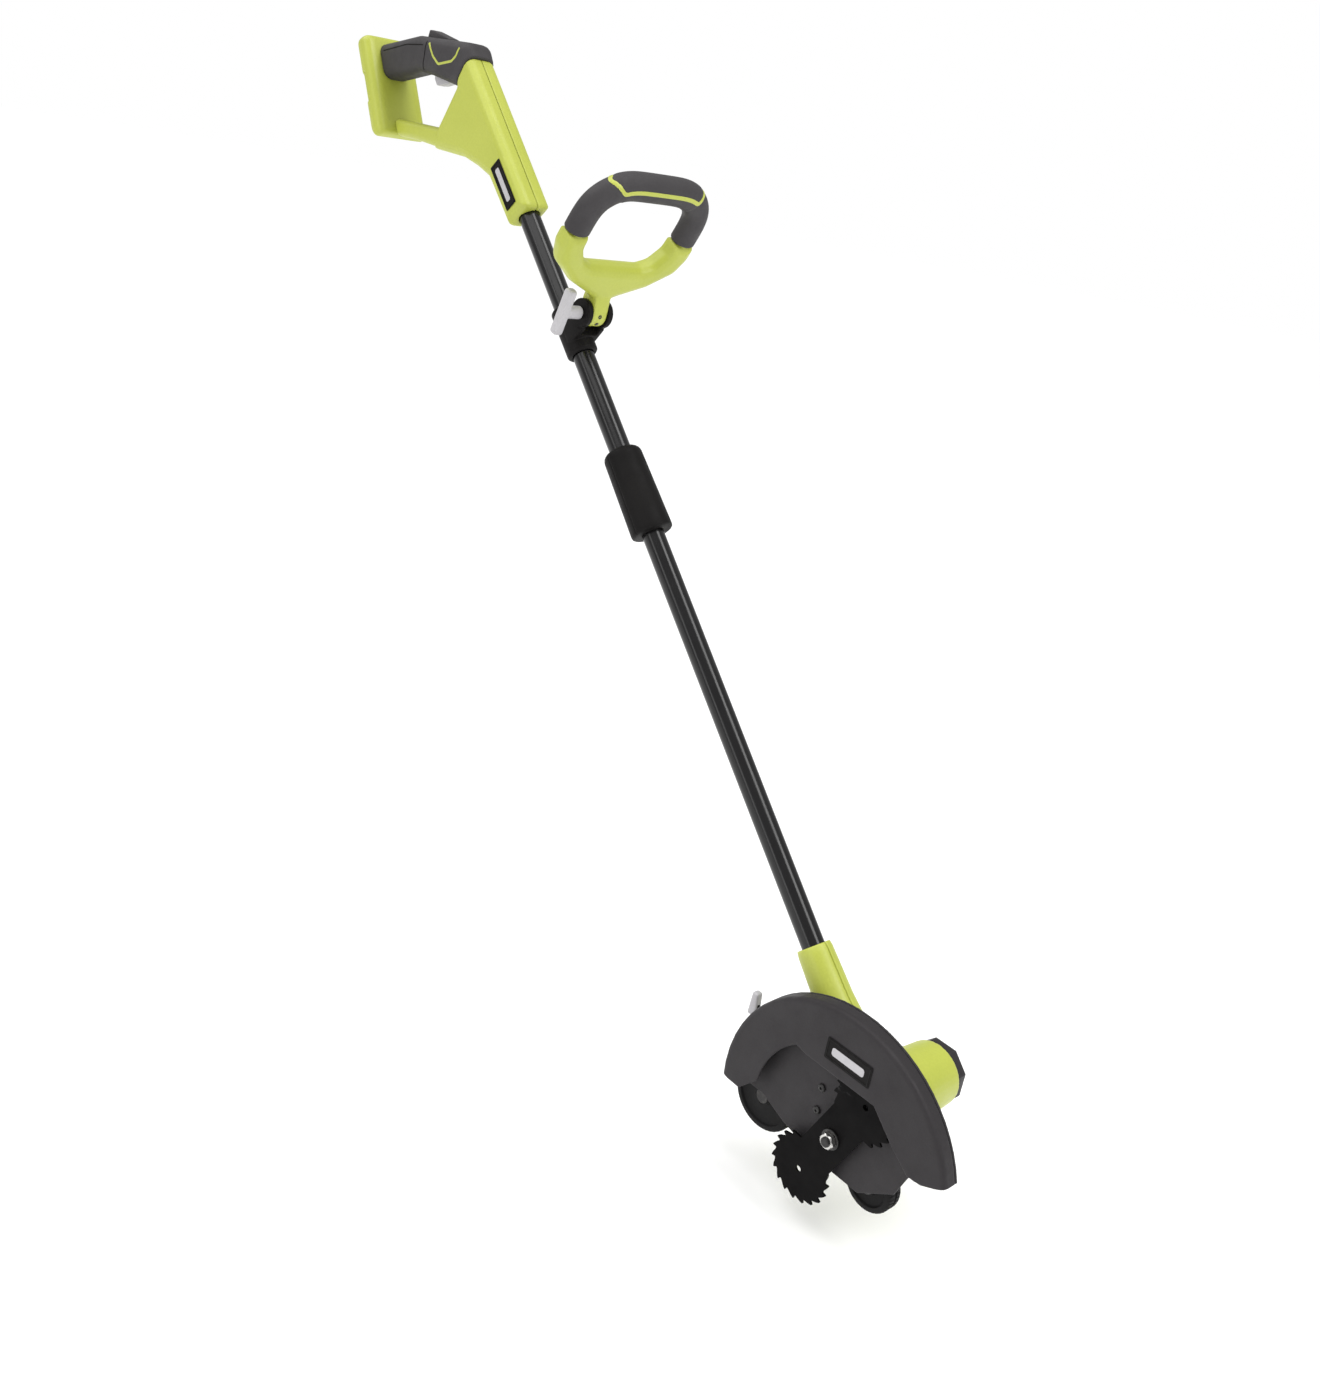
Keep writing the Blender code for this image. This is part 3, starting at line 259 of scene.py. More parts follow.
def gloss_paint(name, tone, rough):
    """Powder-coated tube: deep gloss with orange peel and faint rub marks along it."""
    paint, shader, tree, where = shader_net(name)
    dust = ranged(tree, noise(tree, where, 60.0, 6.0, 0.65), 0.0, 0.5, 0.45, 0.8)
    base = mixed(tree, dust, tone, tuple(2.2 * part for part in tone))
    tree.links.new(base, shader.inputs["Base Color"])
    smear = ranged(tree, noise(tree, where, 25.0, 5.0), rough[0], rough[1])
    tree.links.new(smear, shader.inputs["Roughness"])
    peel = noise(tree, where, 520.0, 1.5)
    bumped(tree, shader, peel, 0.00003)
    shader.inputs["Specular IOR Level"].default_value = 0.4
    return paint


def metal(name, tone, shade, rough, stretch):
    """Machined or plated metal with brushed streaks and stains."""
    paint, shader, tree, where = shader_net(name)
    streak = noise(tree, where, 70.0, 6.0, 0.7, stretch)
    stain = ranged(tree, noise(tree, where, 90.0, 5.0, 0.6), 0.0, 1.0)
    base = mixed(tree, stain, tone, shade)
    scratch = ranged(tree, streak, 0.0, 0.4, 0.4, 0.7)
    base = mixed(tree, scratch, base, tuple(0.6 * part for part in shade))
    tree.links.new(base, shader.inputs["Base Color"])
    tree.links.new(ranged(tree, streak, rough[0], rough[1]), shader.inputs["Roughness"])
    shader.inputs["Metallic"].default_value = 1.0
    bumped(tree, shader, streak, 0.00002)
    return paint


def blade_paint():
    """Black coated steel, rubbed to bare metal along the tooth edges."""
    paint, shader, tree, where = shader_net("blade_coating")
    bare = worn_edges(tree, where, 0.60, 0.80)
    cloud = ranged(tree, noise(tree, where, 40.0, 5.0), 0.0, 1.0)
    base = mixed(tree, cloud, (0.0030, 0.0027, 0.0028), (0.0048, 0.0044, 0.0045))
    base = mixed(tree, bare, base, (0.10, 0.10, 0.10))
    tree.links.new(base, shader.inputs["Base Color"])
    tree.links.new(ranged(tree, noise(tree, where, 110.0, 5.0), 0.36, 0.55), shader.inputs["Roughness"])
    tree.links.new(bare, shader.inputs["Metallic"])
    shader.inputs["Specular IOR Level"].default_value = 0.04
    bumped(tree, shader, noise(tree, where, 1400.0, 2.0), 0.00003)
    return paint


def rubber_paint():
    """Dusty tyre rubber."""
    paint, shader, tree, where = shader_net("wheel_rubber")
    dust = ranged(tree, noise(tree, where, 70.0, 6.0, 0.7), 0.0, 0.6, 0.5, 0.85)
    base = mixed(tree, dust, (0.007, 0.0068, 0.0070), (0.020, 0.019, 0.018))
    tree.links.new(base, shader.inputs["Base Color"])
    tree.links.new(ranged(tree, dust, 0.55, 0.9, 0.0, 0.6), shader.inputs["Roughness"])
    shader.inputs["Specular IOR Level"].default_value = 0.12
    bumped(tree, shader, noise(tree, where, 900.0, 3.0), 0.00008)
    return paint


def dark_steel_paint():
    """Blackened steel of bolts and washers, worn at the edges."""
    paint, shader, tree, where = shader_net("dark_steel")
    bare = worn_edges(tree, where, 0.55, 0.75)
    cloud = ranged(tree, noise(tree, where, 120.0, 4.0), 0.0, 1.0)
    base = mixed(tree, cloud, (0.022, 0.021, 0.021), (0.034, 0.033, 0.032))
    base = mixed(tree, bare, base, (0.22, 0.21, 0.20))
    tree.links.new(base, shader.inputs["Base Color"])
    tree.links.new(ranged(tree, noise(tree, where, 300.0, 4.0), 0.30, 0.48), shader.inputs["Roughness"])
    shader.inputs["Metallic"].default_value = 0.6
    bumped(tree, shader, noise(tree, where, 900.0, 2.0), 0.00002)
    return paint


def board_paint():
    """Green lacquered board with pale traces."""
    paint, shader, tree, where = shader_net("circuit_board")
    brick = tree.nodes.new("ShaderNodeTexBrick")
    brick.inputs["Scale"].default_value = 160.0
    brick.inputs["Mortar Size"].default_value = 0.05
    tree.links.new(where, brick.inputs["Vector"])
    base = mixed(tree, brick.outputs["Fac"], (0.012, 0.09, 0.022), (0.16, 0.30, 0.10))
    tree.links.new(base, shader.inputs["Base Color"])
    tree.links.new(ranged(tree, noise(tree, where, 200.0), 0.25, 0.5), shader.inputs["Roughness"])
    bumped(tree, shader, brick.outputs["Fac"], 0.00008)
    return paint


LIME = (0.426, 0.465, 0.066)
LIME_SHADE = (0.392, 0.433, 0.054)
PAINTS = {
    "lime_plastic": plastic(
        "lime_plastic", LIME, LIME_SHADE,
        worn=(0.52, 0.56, 0.15), rough=(0.34, 0.48), grain=1500.0, depth=0.00003),
    "grey_overmould": plastic(
        "grey_overmould", (0.040, 0.037, 0.039), (0.033, 0.030, 0.032),
        worn=(0.080, 0.080, 0.084), rough=(0.55, 0.72), grain=1100.0, depth=0.00006,
        pebbles=1300.0, gloss=0.35),
    "guard_plastic": plastic(
        "guard_plastic", (0.028, 0.0255, 0.0272), (0.023, 0.0205, 0.0222),
        worn=(0.085, 0.085, 0.085), rough=(0.42, 0.58), grain=1300.0, depth=0.00005,
        pebbles=1700.0, gloss=0.18),
    "black_plastic": plastic(
        "black_plastic", (0.009, 0.0082, 0.0080), (0.006, 0.0055, 0.0054),
        worn=(0.025, 0.024, 0.024), rough=(0.42, 0.6), grain=1200.0, depth=0.00005,
        pebbles=1500.0, gloss=0.09),
    "light_grey_plastic": plastic(
        "light_grey_plastic", (0.45, 0.44, 0.455), (0.405, 0.395, 0.41),
        worn=(0.60, 0.60, 0.60), rough=(0.36, 0.5), grain=1500.0, depth=0.00003),
    "shaft_paint": gloss_paint("shaft_paint", (0.0035, 0.0033, 0.0036), rough=(0.14, 0.22)),
    "steel": metal("steel", (0.60, 0.59, 0.57), (0.50, 0.49, 0.47),
                   rough=(0.20, 0.42), stretch=(1.0, 6.0, 1.0)),
    "motor_copper": metal("motor_copper", (0.62, 0.27, 0.11), (0.45, 0.18, 0.07),
                          rough=(0.25, 0.45), stretch=(9.0, 1.0, 9.0)),
    "dark_steel": dark_steel_paint(),
    "blade_coating": blade_paint(),
    "wheel_rubber": rubber_paint(),
    "circuit_board": board_paint(),
}
PAINT_OF = {                                   # nodes whose paint isn't their slot's own
    **dict.fromkeys(("guard_shell", "guard_back_plate", "motor_end_cap"), "guard_plastic"),
    **dict.fromkeys(("front_axle", "rear_axle", "arm_bolt", "pivot_bolt", "spindle",
                     "blade_washer", "blade_flange",
                     "plate_screw_1", "plate_screw_2", "plate_screw_3"), "dark_steel"),
}


# ---------------------------------------------------------------- meshes
def new_piece(name, data, place):
    """Object from a bmesh in millimetres of the given place, its origin at the frame's."""
    bmesh.ops.remove_doubles(data, verts=data.verts, dist=0.002)
    bmesh.ops.recalc_face_normals(data, faces=data.faces)
    data.transform(TO_ROW @ place)
    mesh = bpy.data.meshes.new(name)
    data.to_mesh(mesh)
    data.free()
    piece = bpy.data.objects.new(name, mesh)
    bpy.context.scene.collection.objects.link(piece)
    return piece


def loft(name, rings, place, closed=False):
    """Skin a list of rings of points, capped at both ends unless closed."""
    data = bmesh.new()
    loops = [[data.verts.new(point) for point in ring] for ring in rings]
    count = len(rings[0])
    pairs = list(zip(loops, loops[1:]))
    if closed:
        pairs.append((loops[-1], loops[0]))
    for lower, upper in pairs:
        for index in range(count):
            after = (index + 1) % count
            data.faces.new((lower[index], lower[after], upper[after], upper[index]))
    if not closed:
        data.faces.new(list(reversed(loops[0])))
        data.faces.new(loops[-1])
    return new_piece(name, data, place)


def turned(name, profile, place, segments, ring=False, shape=None):
    """Turn a profile of (radius, height) about the place's z axis.

    shape(angle, radius) may change the radius along the way round.
    """
    data = bmesh.new()
    columns = []
    for radius, height in profile:
        if radius == 0:
            columns.append([data.verts.new((0, 0, height))] * segments)
            continue
        column = []
        for step in range(segments):
            angle = 2 * math.pi * step / segments
            reach = shape(angle, radius) if shape else radius
            column.append(data.verts.new((reach * math.cos(angle), reach * math.sin(angle), height)))
        columns.append(column)
    pairs = list(zip(columns, columns[1:]))
    if ring:
        pairs.append((columns[-1], columns[0]))
    for first, second in pairs:
        for index in range(segments):
            after = (index + 1) % segments
            corners = list(dict.fromkeys([first[index], first[after], second[after], second[index]]))
            if len(corners) > 2:
                data.faces.new(corners)
    return new_piece(name, data, place)


def slab(name, outline, low, high, place):
    """Outline in local x and z, pulled along local y from low to high."""
    rings = [[(x, level, z) for x, z in outline] for level in (low, high)]
    return loft(name, rings, place)


def smooth_step(value):
    """0 below 0, 1 above 1, and a smooth rise between."""
    value = min(1.0, max(0.0, value))
    return value * value * (3 - 2 * value)


def eased(spots, rounds):
    """A line whose points move to the mean of themselves and their neighbours, its ends fixed."""
    for _ in range(rounds):
        middle = [(a + b + c) / 3 for a, b, c in zip(spots, spots[1:], spots[2:])]
        spots = [spots[0]] + middle + [spots[-1]]
    return spots


def arc(cx, cy, radius, start, end, steps):
    """Points on an arc, angles in degrees, both ends included."""
    angles = [math.radians(start + (end - start) * i / steps) for i in range(steps + 1)]
    return [(cx + radius * math.cos(a), cy + radius * math.sin(a)) for a in angles]


def rounded_box(low, high, radius):
    """Outline of a rectangle with round corners."""
    left, right = low[0] + radius, high[0] - radius
    bottom, top = low[1] + radius, high[1] - radius
    outline = []
    for cx, cy, start in ((right, top, 0), (left, top, 90), (left, bottom, 180), (right, bottom, 270)):
        outline += arc(cx, cy, radius, start, start + 90, steps=6)
    return outline


def bevelled(piece, width, limit=35.0):
    """Round the edges of a clean mesh that are sharper than the limit, in degrees."""
    change = piece.modifiers.new("edges", "BEVEL")
    change.width = width * MM
    change.segments = 2
    change.limit_method = "ANGLE"
    change.angle_limit = math.radians(limit)
    return piece


def cut(piece, *tools):
    """Subtract each tool, which is used up."""
    for tool in tools:
        change = piece.modifiers.new("cut", "BOOLEAN")
        change.operation = "DIFFERENCE"
        change.object = tool
        bpy.context.view_layer.update()
        result = piece.evaluated_get(bpy.context.evaluated_depsgraph_get())
        shaped = bpy.data.meshes.new_from_object(result)
        piece.modifiers.clear()
        piece.data = shaped
        bpy.data.objects.remove(tool)
    return piece


def settle(piece, slot, body, *nodes, paint=None, sharp=32.0):
    """Paint a new piece, shade it, and tie it to its body and to the CAD nodes it stands for."""
    paint = paint or PAINT_OF.get(nodes[0] if nodes else None, slot)
    piece.data.materials.clear()
    piece.data.materials.append(PAINTS[paint])
    piece.data.shade_smooth()
    piece.data.set_sharp_from_angle(angle=math.radians(sharp))
    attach(piece, body)
    if nodes:
        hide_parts(*nodes)


# ---------------------------------------------------------------- moulded CAD nodes
SOFTENED = {                                   # node: (mesh size in mm, smoothing rounds)
    "handle_shell_right": (0.9, 10), "handle_shell_left": (0.9, 10), "grip_cover": (0.9, 12),
    "battery_dock": (1.0, 16), "loop_base": (1.0, 16), "housing_right": (1.0, 8),
    "housing_left": (1.0, 8), "clamp_collar": (0.7, 6), "trigger": (0.5, 8),
    "lockout_button": (0.5, 6), "wing_knob": (0.6, 8), "depth_knob": (0.5, 6),
    "depth_arm": (0.7, 3), "depth_sector": (0.6, 2), "guard_shell": (0.9, 10),
    "guard_back_plate": (0.8, 3),
}


def soften_moulded_nodes():
    """Round the edges and facets of the moulded pieces, in place."""
    for name, (size, rounds) in SOFTENED.items():
        piece = frame["nodes"][name]
        net = piece.modifiers.new("net", "REMESH")
        net.mode = "VOXEL"
        net.voxel_size = size * MM
        net.use_smooth_shade = True
        calm = piece.modifiers.new("calm", "SMOOTH")
        calm.factor = 0.5
        calm.iterations = rounds


def paint_nodes():
    """Give every CAD node its paint."""
    for name, piece in frame["nodes"].items():
        for slot in piece.material_slots:
            slot.material = PAINTS[PAINT_OF.get(name, SLOT_OF[name])]


# ---------------------------------------------------------------- shaft
def shaft_pieces():
    """The two painted tubes and the sleeve where they meet."""
    for name, low, high in (("lower", TUBE_FOOT, TUBE_SPLIT - TUBE_GAP / 2),
                            ("upper", TUBE_SPLIT + TUBE_GAP / 2, TUBE_TOP)):
        profile = [(TUBE_BORE, low), (TUBE_R - TUBE_EDGE, low), (TUBE_R, low + TUBE_EDGE),
                   (TUBE_R, high - TUBE_EDGE), (TUBE_R - TUBE_EDGE, high), (TUBE_BORE, high)]
        tube = turned(f"{name}_tube_painted", profile, SHAFT, 96, ring=True)
        settle(tube, "shaft_paint", "frame", f"{name}_tube")
    coupler_sleeve_piece()


def coupler_sleeve_piece():
    """Tapered sleeve over the joint of the tubes, with a round lip at each end."""
    groove = 0.45
    skin = 17.0                                # the sleeve's outer surface lies beyond this radius

    def parting(angle, radius):
        """A fine moulding line down each side."""
        on_line = abs(math.sin(angle)) > 0.9995
        return radius - groove if on_line and radius > skin else radius

    foot, top = SLEEVE_FOOT, SLEEVE_TOP
    profile = [(SLEEVE_BORE, foot), (20.6, foot), (22.6, foot + 0.5), (23.8, foot + 1.6),
               (24.2, foot + 3.4), (24.2, foot + 6.0), (22.45, top - 8.5), (22.1, top - 6.0),
               (21.2, top - 3.7), (19.6, top - 1.7), (18.0, top - 0.5), (16.6, top), (SLEEVE_BORE, top)]
    sleeve = turned("coupler_sleeve_moulded", profile, SHAFT, 144, ring=True, shape=parting)
    settle(sleeve, "black_plastic", "frame", "coupler_sleeve")


# ---------------------------------------------------------------- loop handle
def loop_stations(count=110, rounds=60):
    """Evenly spaced points along the loop grip's centre line, its corners eased."""
    corners = [Vector((-x, z)) for x, z in LOOP_HALF] + [Vector(corner) for corner in reversed(LOOP_HALF)]
    lengths = [(b - a).length for a, b in zip(corners, corners[1:])]
    total = sum(lengths)
    spots = []
    for step in range(count + 1):
        left = total * step / count
        index = 0
        while index < len(lengths) - 1 and left > lengths[index]:
            left -= lengths[index]
            index += 1
        spots.append(corners[index].lerp(corners[index + 1], left / lengths[index]))
    return eased(spots, rounds)


STATIONS = loop_stations()
PANEL = (0.27, 0.73)                           # share of the grip's length that the raised pad takes
PAD = 0.7                                      # how far the pad stands up
PAD_RAMP = 0.02                                # share of the length over which it rises
END_RAMP = 1 / 90                              # share over which each end is drawn in
END_TUCK = 1.6


def loop_point(share, turn, off=0.0):
    """Point on the loop grip: share of its length, turn in degrees from its inner side."""
    place = min(max(share, 0.0), 1.0) * (len(STATIONS) - 1)
    index = min(int(place), len(STATIONS) - 2)
    centre = STATIONS[index].lerp(STATIONS[index + 1], place - index)
    before = STATIONS[max(index - 1, 0)]
    after = STATIONS[min(index + 2, len(STATIONS) - 1)]
    tangent = (after - before).normalized()
    if index == 0 or index == len(STATIONS) - 2:
        tangent = Vector((0.0, 1.0 if index == 0 else -1.0))
    rise = smooth_step((share - PANEL[0]) / PAD_RAMP) * smooth_step((PANEL[1] - share) / PAD_RAMP)
    tuck = END_TUCK * (1 - smooth_step(min(share, 1 - share) / END_RAMP)) ** 2
    radial = LOOP_RADIAL + PAD * rise - tuck + off
    normal = LOOP_NORMAL + PAD * rise - tuck + off
    angle = math.radians(turn)
    flat = centre + Vector((tangent.y, -tangent.x)) * radial * math.cos(angle)
    return Vector((flat.x, flat.y, normal * math.sin(angle)))


def loop_grip_pieces():
    """Soft loop grip, a closed skin with a bore, and its inlay."""
    around = 56
    ends = [0.0, 0.003, 0.006, 0.01]
    shares = ends + [step / 150 for step in range(2, 149)] + [1 - share for share in reversed(ends)]
    outer = [[loop_point(share, 360 * k / around) for k in range(around)] for share in shares]
    bore = []
    for share in (shares[0], *shares[4:-4:6], shares[-1]):
        middle = (loop_point(share, 0) + loop_point(share, 180)) / 2
        out = (loop_point(share, 0) - middle).normalized()
        bore.append([middle + LOOP_BORE * (out * math.cos(a) + Vector((0, 0, 1)) * math.sin(a))
                     for a in (2 * math.pi * k / around for k in range(around))])
    grip = loft("loop_grip_soft", outer + bore[::-1], LOOP, closed=True)
    settle(grip, "grey_overmould", "loop_handle", "loop_grip", sharp=45.0)
    loop_inlay()


def ribbon(name, stations, width, rise, sink, place=SIDE, closed=False):
    """Solid inlay along stations of (point, across, out): a crowned strip set into a surface."""
    rings = []
    for point, across, out in stations:
        half = across * width / 2
        top = [point + half * t + out * rise * (1 - abs(t) ** 3 * 0.8)
               for t in (-1, -0.6, -0.2, 0.2, 0.6, 1)]
        rings.append(top + [point + half - out * sink, point - half - out * sink])
    return loft(name, rings, place, closed=closed)


def loop_inlay():
    """Lime line round the pad on the loop's top bar."""
    side, top = 97.0, 180.0                    # turns of its lower and its upper edge
    near_top, near_side = PANEL[0] - 0.025, PANEL[0] + 0.015
    far_side, far_top = PANEL[1] - 0.015, PANEL[1] + 0.005
    corners = [(near_top, top), (near_side, side), (far_side, side), (far_top, top),
               (far_side, 360 - side), (near_side, 360 - side)]
    path = []
    for start, end in zip(corners, corners[1:] + corners[:1]):
        steps = 60 if abs(start[1] - end[1]) < 1 else 26
        for step in range(steps):
            t = step / steps
            path.append((start[0] + (end[0] - start[0]) * t, start[1] + (end[1] - start[1]) * t))
    for _ in range(3):
        path = [((a[0] + b[0] + c[0]) / 3, (a[1] + b[1] + c[1]) / 3)
                for a, b, c in zip(path[-1:] + path[:-1], path, path[1:] + path[:1])]
    spots = [loop_point(share, turn, 0.05) for share, turn in path]
    stations = []
    for index, (share, turn) in enumerate(path):
        along = (spots[(index + 1) % len(spots)] - spots[index - 1]).normalized()
        out = (loop_point(share, turn, 1.0) - loop_point(share, turn)).normalized()
        stations.append((spots[index], along.cross(out).normalized(), out))
    strip = ribbon("loop_inlay", stations, 4.6, 0.35, 0.5, LOOP, closed=True)
    settle(strip, "lime_plastic", "loop_handle", sharp=50.0)


# ---------------------------------------------------------------- inlays on CAD surfaces
def surface_of(node):
    """Search tree of a CAD node's faces, in the frame's metres."""
    mesh = frame["nodes"][node].data
    return BVHTree.FromPolygons([vertex.co for vertex in mesh.vertices],
                                [face.vertices for face in mesh.polygons])


def resampled(corners, spacing, eases):
    """Even points along a polyline, its corners eased."""
    points = []
    for start, end in zip(corners, corners[1:]):
        steps = max(1, round((end - start).length / spacing))
        points += [start.lerp(end, step / steps) for step in range(steps)]
    points.append(corners[-1])
    return eased(points, eases)


def side_inlay(name, node, corners, side, width, slot, body, eases):
    """Strip laid on a node's right (side -1) or left (side 1) face along (x, z) corners."""
    surface = surface_of(node)
    outside = 60.0
    line = resampled([Vector((x, side * outside, z)) for x, z in corners], 1.2, eases)
    hits = []
    for point in line:
        spot, normal, _, _ = surface.ray_cast(TO_ROW @ point, Vector((0, -side, 0)))
        if spot is not None:
            hits.append((from_foot(spot), normal))
    outs = [normal for _, normal in hits]
    for _ in range(4):
        middle = [(a + b + c).normalized() for a, b, c in zip(outs, outs[1:], outs[2:])]
        outs = [outs[0]] + middle + [outs[-1]]
    stations = []
    for index, (spot, _) in enumerate(hits):
        before = hits[max(index - 1, 0)][0]
        after = hits[min(index + 1, len(hits) - 1)][0]
        along = (after - before).normalized()
        stations.append((spot, along.cross(outs[index]).normalized(), outs[index]))
    settle(ribbon(name, stations, width, 0.45, 0.8), slot, body, sharp=50.0)


# Corners (x, z) of the lines on the grip's sides: its lime inlay, and two thin black strips of painted
# shadow, one in its upper lengthwise groove and one along its rear parting seam.
GRIP_INLAY = [(-852.6, 806.0), (-840.5, 791.8), (-826.5, 783.3), (-812.0, 786.2),
              (-797.8, 789.0), (-789.0, 796.1), (-785.1, 805.7)]
# The next two lines are thin black strips that paint the shadow in the grip's lengthwise groove and in
# its rear parting seam.
GRIP_GROOVE_SHADOW = [(-958, 789), (-905, 800.5), (-866, 803)]
GRIP_PARTING_SHADOW = [(-859, 808), (-859.5, 790), (-862, 774)]


def grip_details():
    """The inlay, and black strips of painted shadow in the groove and the parting seam, on both sides of
    the rear grip.
    """
    for side, word in ((-1, "right"), (1, "left")):
        for name, line, width, slot, eases in (("inlay", GRIP_INLAY, 3.0, "lime_plastic", 3),
                                               # black strips: painted shadow of the groove and of the
                                               # parting seam
                                               ("rib", GRIP_GROOVE_SHADOW, 1.5, "black_plastic", 3),
                                               ("parting_shadow", GRIP_PARTING_SHADOW, 1.5, "black_plastic", 1)):
            side_inlay(f"grip_{name}_{word}", "grip_cover", line, side, width, slot, "frame", eases)


# ---------------------------------------------------------------- label plates
RAISED = 0.6                                   # thickness of the border and of the bar
PLATE_STEP = 0.35                              # how far the plate lies behind their faces
BORDER_INSET = 1.6
BORDER_WIDTH = 1.0
BAR_INSET = 8.0
BAR_SHARE = 0.19                               # half of the bar's height, of the plate's


def inset(low, high, by):
    """Corners of a rectangle, drawn in on every side."""
    return (low[0] + by, low[1] + by), (high[0] - by, high[1] - by)


def label_piece(name, along):
    """Black plate, its long side along an axis, with a raised border and a plain bar."""
    place = axes((0, 0, 0), along, LEFT)
    across = place.col[2].to_3d()
    spots = [from_foot(vertex.co) for vertex in frame["nodes"][name].data.vertices]
    low = [min(spot.dot(axis) for spot in spots) for axis in (along, across)]
    high = [max(spot.dot(axis) for spot in spots) for axis in (along, across)]
    face, back = (corner.y for corner in node_box(name))

    plate = slab(f"{name}_plate", rounded_box(low, high, 1.5), face + PLATE_STEP, back, place)
    settle(bevelled(plate, 0.25), "black_plastic", "frame", name)

    outer = inset(low, high, BORDER_INSET)
    border = slab(f"{name}_border", rounded_box(*outer, 1.2), face, face + RAISED, place)
    hole = slab("hole", rounded_box(*inset(*outer, BORDER_WIDTH), 0.8), face - 1, face + 2, place)
    settle(cut(border, hole), "black_plastic", "frame")

    middle = (low[1] + high[1]) / 2
    half = (high[1] - low[1]) * BAR_SHARE
    outline = rounded_box((low[0] + BAR_INSET, middle - half), (high[0] - BAR_INSET, middle + half),
                          half * 0.6)
    bar = slab(f"{name}_bar", outline, face, face + RAISED, place)
    settle(bevelled(bar, 0.12), "light_grey_plastic", "frame")


def label_pieces():
    """The two plates, free of lettering."""
    label_piece("handle_label", UP_SHAFT)
    label_piece("guard_label", Vector((1, 0, 0)))


# ---------------------------------------------------------------- blade
BLADE_OFFSET = 61.5                            # from the spindle to the middle of a round end
BLADE_R = 37.4
BLADE_HOLE = 64.0                              # from the spindle to a small hole
BLADE_HOLE_R = 3.2
BLADE_NECK = 20.0                              # half of the bar's width
BLADE_HEADING = math.radians(-116.0)
TEETH = 15                                     # on each round end
TOOTH_DEPTH = 4.4
# One hooked tooth: shares of its pitch, and how deep it lies there, as shares of its depth.
TOOTH = ((0.0, 0.96), (0.10, 1.0), (0.24, 0.93), (0.42, 0.70),
         (0.62, 0.38), (0.80, 0.14), (0.92, 0.0), (0.985, 0.04))
HUB_BORE = 5.3                                 # bore of the blade, its nut and its washer
NUT_R = 8.6                                    # radius at the nut's corners
NUT_FLAT = 7.5                                 # radius at its flats
WASHER_R = 10.5


def blade_outline():
    """Bar with two round ends of hooked teeth, about the spindle."""
    neck = math.degrees(math.asin(BLADE_NECK / (BLADE_R - TOOTH_DEPTH)))
    span = 360 - 2 * neck
    points = []
    for centre, turn in ((BLADE_OFFSET, -180 + neck), (-BLADE_OFFSET, neck)):
        for tooth in range(TEETH):
            for share, depth in TOOTH:
                angle = math.radians(turn + span * (tooth + share) / TEETH)
                radius = BLADE_R - TOOTH_DEPTH * depth
                points.append((centre + radius * math.cos(angle), radius * math.sin(angle)))
    return points


def drill(radius, spot, segments):
    """Cutter for a round hole along y, right through the blade."""
    return turned("drill", [(0, -80), (radius, -80), (radius, -50), (0, -50)], axle(spot), segments)


def blade_piece(hub):
    """Two-ended blade with its bore and a small hole near each end."""
    low, high = node_box("blade")
    heading = axes((hub.x, 0, hub.z), (math.cos(BLADE_HEADING), 0, math.sin(BLADE_HEADING)), LEFT)
    blade = slab("blade_toothed", blade_outline(), low.y, high.y, heading)
    holes = [heading @ Vector((side * BLADE_HOLE, 0, 0)) for side in (-1, 1)]
    cut(blade, drill(HUB_BORE, hub, 48), *(drill(BLADE_HOLE_R, spot, 32) for spot in holes))
    settle(bevelled(blade, 0.28, limit=50.0), "blade_coating", "cutter", "blade")


def hexagonal(angle, radius):
    """The turned radius, no more than the nut's flats allow."""
    sector = (angle + math.pi / 6) % (math.pi / 3) - math.pi / 6
    return min(radius, NUT_FLAT / math.cos(sector))


def nut_piece(hub):
    """Chamfered hexagon nut."""
    low, high = (corner.y for corner in node_box("blade_nut"))
    profile = [(HUB_BORE, low), (NUT_R - 1.4, low), (NUT_R, low + 1.1),
               (NUT_R, high - 0.6), (NUT_R - 0.7, high), (HUB_BORE, high)]
    nut = turned("blade_nut_hex", profile, axle(hub), 96, ring=True, shape=hexagonal)
    settle(nut, "steel", "cutter", "blade_nut", sharp=20.0)


def washer_piece(hub):
    """Round washer with eased edges."""
    low, high = (corner.y for corner in node_box("blade_washer"))
    profile = [(HUB_BORE, low), (WASHER_R - 0.3, low), (WASHER_R, low + 0.3),
               (WASHER_R, high - 0.2), (WASHER_R - 0.2, high), (HUB_BORE, high)]
    washer = turned("blade_washer_turned", profile, axle(hub), 72, ring=True)
    settle(washer, "steel", "cutter", "blade_washer")


def spindle_piece(hub):
    """Spindle with eight grooves of thread behind its tip."""
    tip, back = (corner.y for corner in node_box("spindle"))
    crest, root, pitch = 5.0, 4.45, 1.0
    profile = [(0, tip), (3.9, tip), (4.6, tip + 0.7)]
    for turn in range(8):
        start = tip + 0.8 + turn * pitch
        profile += [(crest, start), (crest, start + 0.15), (root, start + 0.5), (root, start + 0.6)]
    profile += [(crest, tip + 9.3), (crest, back - 0.5), (crest - 0.5, back), (0, back)]
    settle(turned("spindle_threaded", profile, axle(hub), 64), "steel", "cutter", "spindle")


def cutter_pieces():
    hub = JOINT_AT["blade_spin"]
    blade_piece(hub)
    nut_piece(hub)
    washer_piece(hub)
    spindle_piece(hub)


# ---------------------------------------------------------------- screws
def star(radius, one_end, other_end, place):
    """Six-lobed driver recess between two levels."""
    outline = []
    for step in range(36):
        angle = 2 * math.pi * step / 36
        reach = radius * (0.86 + 0.14 * math.cos(6 * angle))
        outline.append((reach * math.cos(angle), reach * math.sin(angle)))
    rings = [[(x, y, level) for x, y in outline] for level in sorted((one_end, other_end))]
    return loft("star", rings, place)


